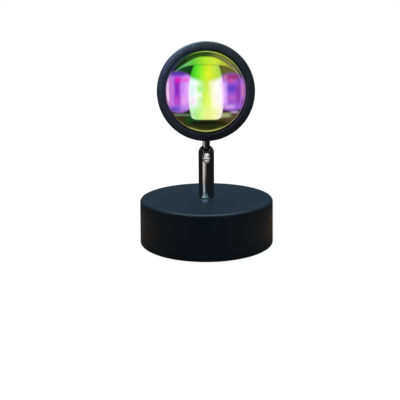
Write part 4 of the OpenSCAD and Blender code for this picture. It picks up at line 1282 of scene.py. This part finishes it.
# Painted highlights: the thin bright ring near the edge, whose colour changes round it, one just inside it at
# the foot, and a faint one further in on the right
from_middle = distance_from(0, 0)
heading = spread(tree, calculate(tree, "ARCTAN2", u, v), -math.pi, math.pi)
ring_highlight_colour = hues(heading, (
    (0.00, (204, 204, 126)), (0.08, (140, 130, 66)), (0.16, (90, 50, 28)), (0.22, (180, 130, 170)),
    (0.28, (232, 196, 222)), (0.34, (90, 50, 116)), (0.42, (44, 100, 26)), (0.50, (186, 214, 96)),
    (0.58, (176, 190, 88)), (0.66, (136, 150, 110)), (0.74, (110, 96, 130)), (0.82, (128, 116, 140)),
    (0.90, (158, 150, 94)), (1.00, (204, 204, 126))))
colour = blend_colours(tree, inside(from_middle, 25.6, 0.22, 0.55), colour, ring_highlight_colour)
low_ring = times(tree, inside(from_middle, 25.1, 0.25, 0.9), spread(tree, v, -21.5, -24.0, smooth=True))
colour = blend_colours(tree, low_ring, colour, tint(170, 172, 92))
inner_ring = times(tree, inside(from_middle, 23.8, 0.10, 0.7), inside(heading, 0.71, 0.15, 0.16))
inner_ring = times(tree, inner_ring, spread(tree, heading, 0.66, 0.80, 0.75, 0.35))
colour = blend_colours(tree, inner_ring, colour, tint(186, 180, 196))
# Painted shade: the dark rim round the lens, faintly tinted round it
edge_shade_colour = hues(heading, (
    (0.00, (16, 18, 10)), (0.12, (28, 25, 44)), (0.25, (44, 37, 72)), (0.35, (28, 50, 78)),
    (0.50, (24, 38, 26)), (0.64, (18, 22, 18)), (0.75, (44, 30, 54)), (0.88, (18, 14, 16)),
    (1.00, (16, 18, 10))))
colour = blend_colours(tree, spread(tree, from_middle, 25.7, 26.4, smooth=True), colour, edge_shade_colour)

# Fine unevenness of the painted glow, so that no patch is flat
clouds_per_metre = 220.0
cloud = spread(tree, noise(tree, place, clouds_per_metre, detail=4.0), 0.3, 0.7, 0.93, 1.05)
clouded = add(tree, "ShaderNodeVectorMath", {0: colour, "Scale": cloud}, operation="SCALE")
feed(tree, shader.inputs["Emission Color"], clouded.outputs["Vector"])
colour_disc.data.materials.append(material)
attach(colour_disc, "head")
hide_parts("color_filter")

# ---- Lens and its gasket ----
# A pressed glass dome with a flat rim, polished clear. It sits in the bezel on a thin black rubber gasket, and
# the filter ring behind it presses it forward.
lens_r = 29.15 * mm
lens_back = 31.0 * mm
lens_front = 33.4 * mm
lens_edge = 0.2 * mm
dome_r = 26.8 * mm
dome_rise = 13.7 * mm
dome_sphere_r = (dome_r**2 + dome_rise**2) / (2 * dome_rise)
dome_middle = lens_front + dome_rise - dome_sphere_r
dome_opens = math.degrees(math.acos(dome_r / dome_sphere_r))
glass_clear, glass_gloss = (1, 1, 1, 1), (0.25, 0.25, 0.25, 1)
smears_per_metre = 45.0

outline = [(0, lens_back), (lens_r - lens_edge, lens_back), (lens_r, lens_back + lens_edge)]
outline += [(lens_r, lens_front - lens_edge), (lens_r - lens_edge, lens_front)]
outline += arc((0, dome_middle), dome_sphere_r, dome_opens, 90, 64)[:-1]
outline += [(0, dome_middle + dome_sphere_r)]
lens = turned("dome_lens", outline, on_head, segments=256)
material, tree, shader, place = shaded_material("clear_glass", {
    "Base Color": glass_clear, "Transmission Weight": 1, "IOR": 1.5, "Specular Tint": glass_gloss})
smears = noise(tree, place, smears_per_metre, detail=4.0)
feed(tree, shader.inputs["Roughness"], spread(tree, smears, 0.5, 0.75, 0.0, 0.02))
lens.data.materials.append(material)
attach(lens, "head")
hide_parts("projection_lens")
refinish("lens_gasket", rubber)

# ---- Front bezel ----
# A turned aluminium ring slides over the housing's spigot and its lip holds the lens. Its face is slightly
# crowned, and it has the head's satin black coat.
bezel_low, bezel_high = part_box("front_bezel")
bezel_front = -bezel_low.y
bezel_back = -bezel_high.y
bezel_bore_r = 30.4 * mm
bezel_edge_r = 0.9 * mm
lip_back = 33.9 * mm
lip_round = 0.45 * mm
open_r = 27.1 * mm
crown_drop = 0.6 * mm
crown_steps = 12

face_in, face_out = open_r + lip_round, head_r - bezel_edge_r
crown_end = bezel_front - crown_drop
slope = math.degrees(math.atan(2 * crown_drop / (face_out - face_in)))
outline = arc((face_in, bezel_front - lip_round), lip_round, 180, 90, 6)
for share in [step / crown_steps for step in range(1, crown_steps)]:
    outline.append((face_in + (face_out - face_in) * share, bezel_front - crown_drop * share**2))
outline += arc((face_out, crown_end - bezel_edge_r), bezel_edge_r, 90 - slope, 0, 8)
outline += arc((head_r - seam_round, bezel_back + seam_round), seam_round, 0, -90, 3)
outline += [(bezel_bore_r, bezel_back), (bezel_bore_r, lip_back), (open_r, lip_back)]
bezel = turned("crowned_bezel", outline, on_head, segments=256)
bezel.data.materials.append(head_coat)
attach(bezel, "head")
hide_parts("front_bezel")

# ---- Flags on the small softboxes ----
# Each small softbox is flagged off all pieces but its own, and the large one off the lens and the can. A few
# are shaded by the lens only. The pieces have to be there first, so this comes last.
for softbox, lit_pieces, shading_pieces in flagged:
    receivers = bpy.data.collections.new(softbox.name + "_lights")
    for name in lit_pieces:
        if name != "not":
            receivers.objects.link(bpy.data.objects.get(name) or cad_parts[name])
    if "not" in lit_pieces:
        for linked in receivers.collection_objects:
            linked.light_linking.link_state = "EXCLUDE"
    softbox.light_linking.receiver_collection = receivers
    if shading_pieces:
        blockers = bpy.data.collections.new(softbox.name + "_shades")
        for name in shading_pieces:
            blockers.objects.link(bpy.data.objects[name])
        softbox.light_linking.blocker_collection = blockers
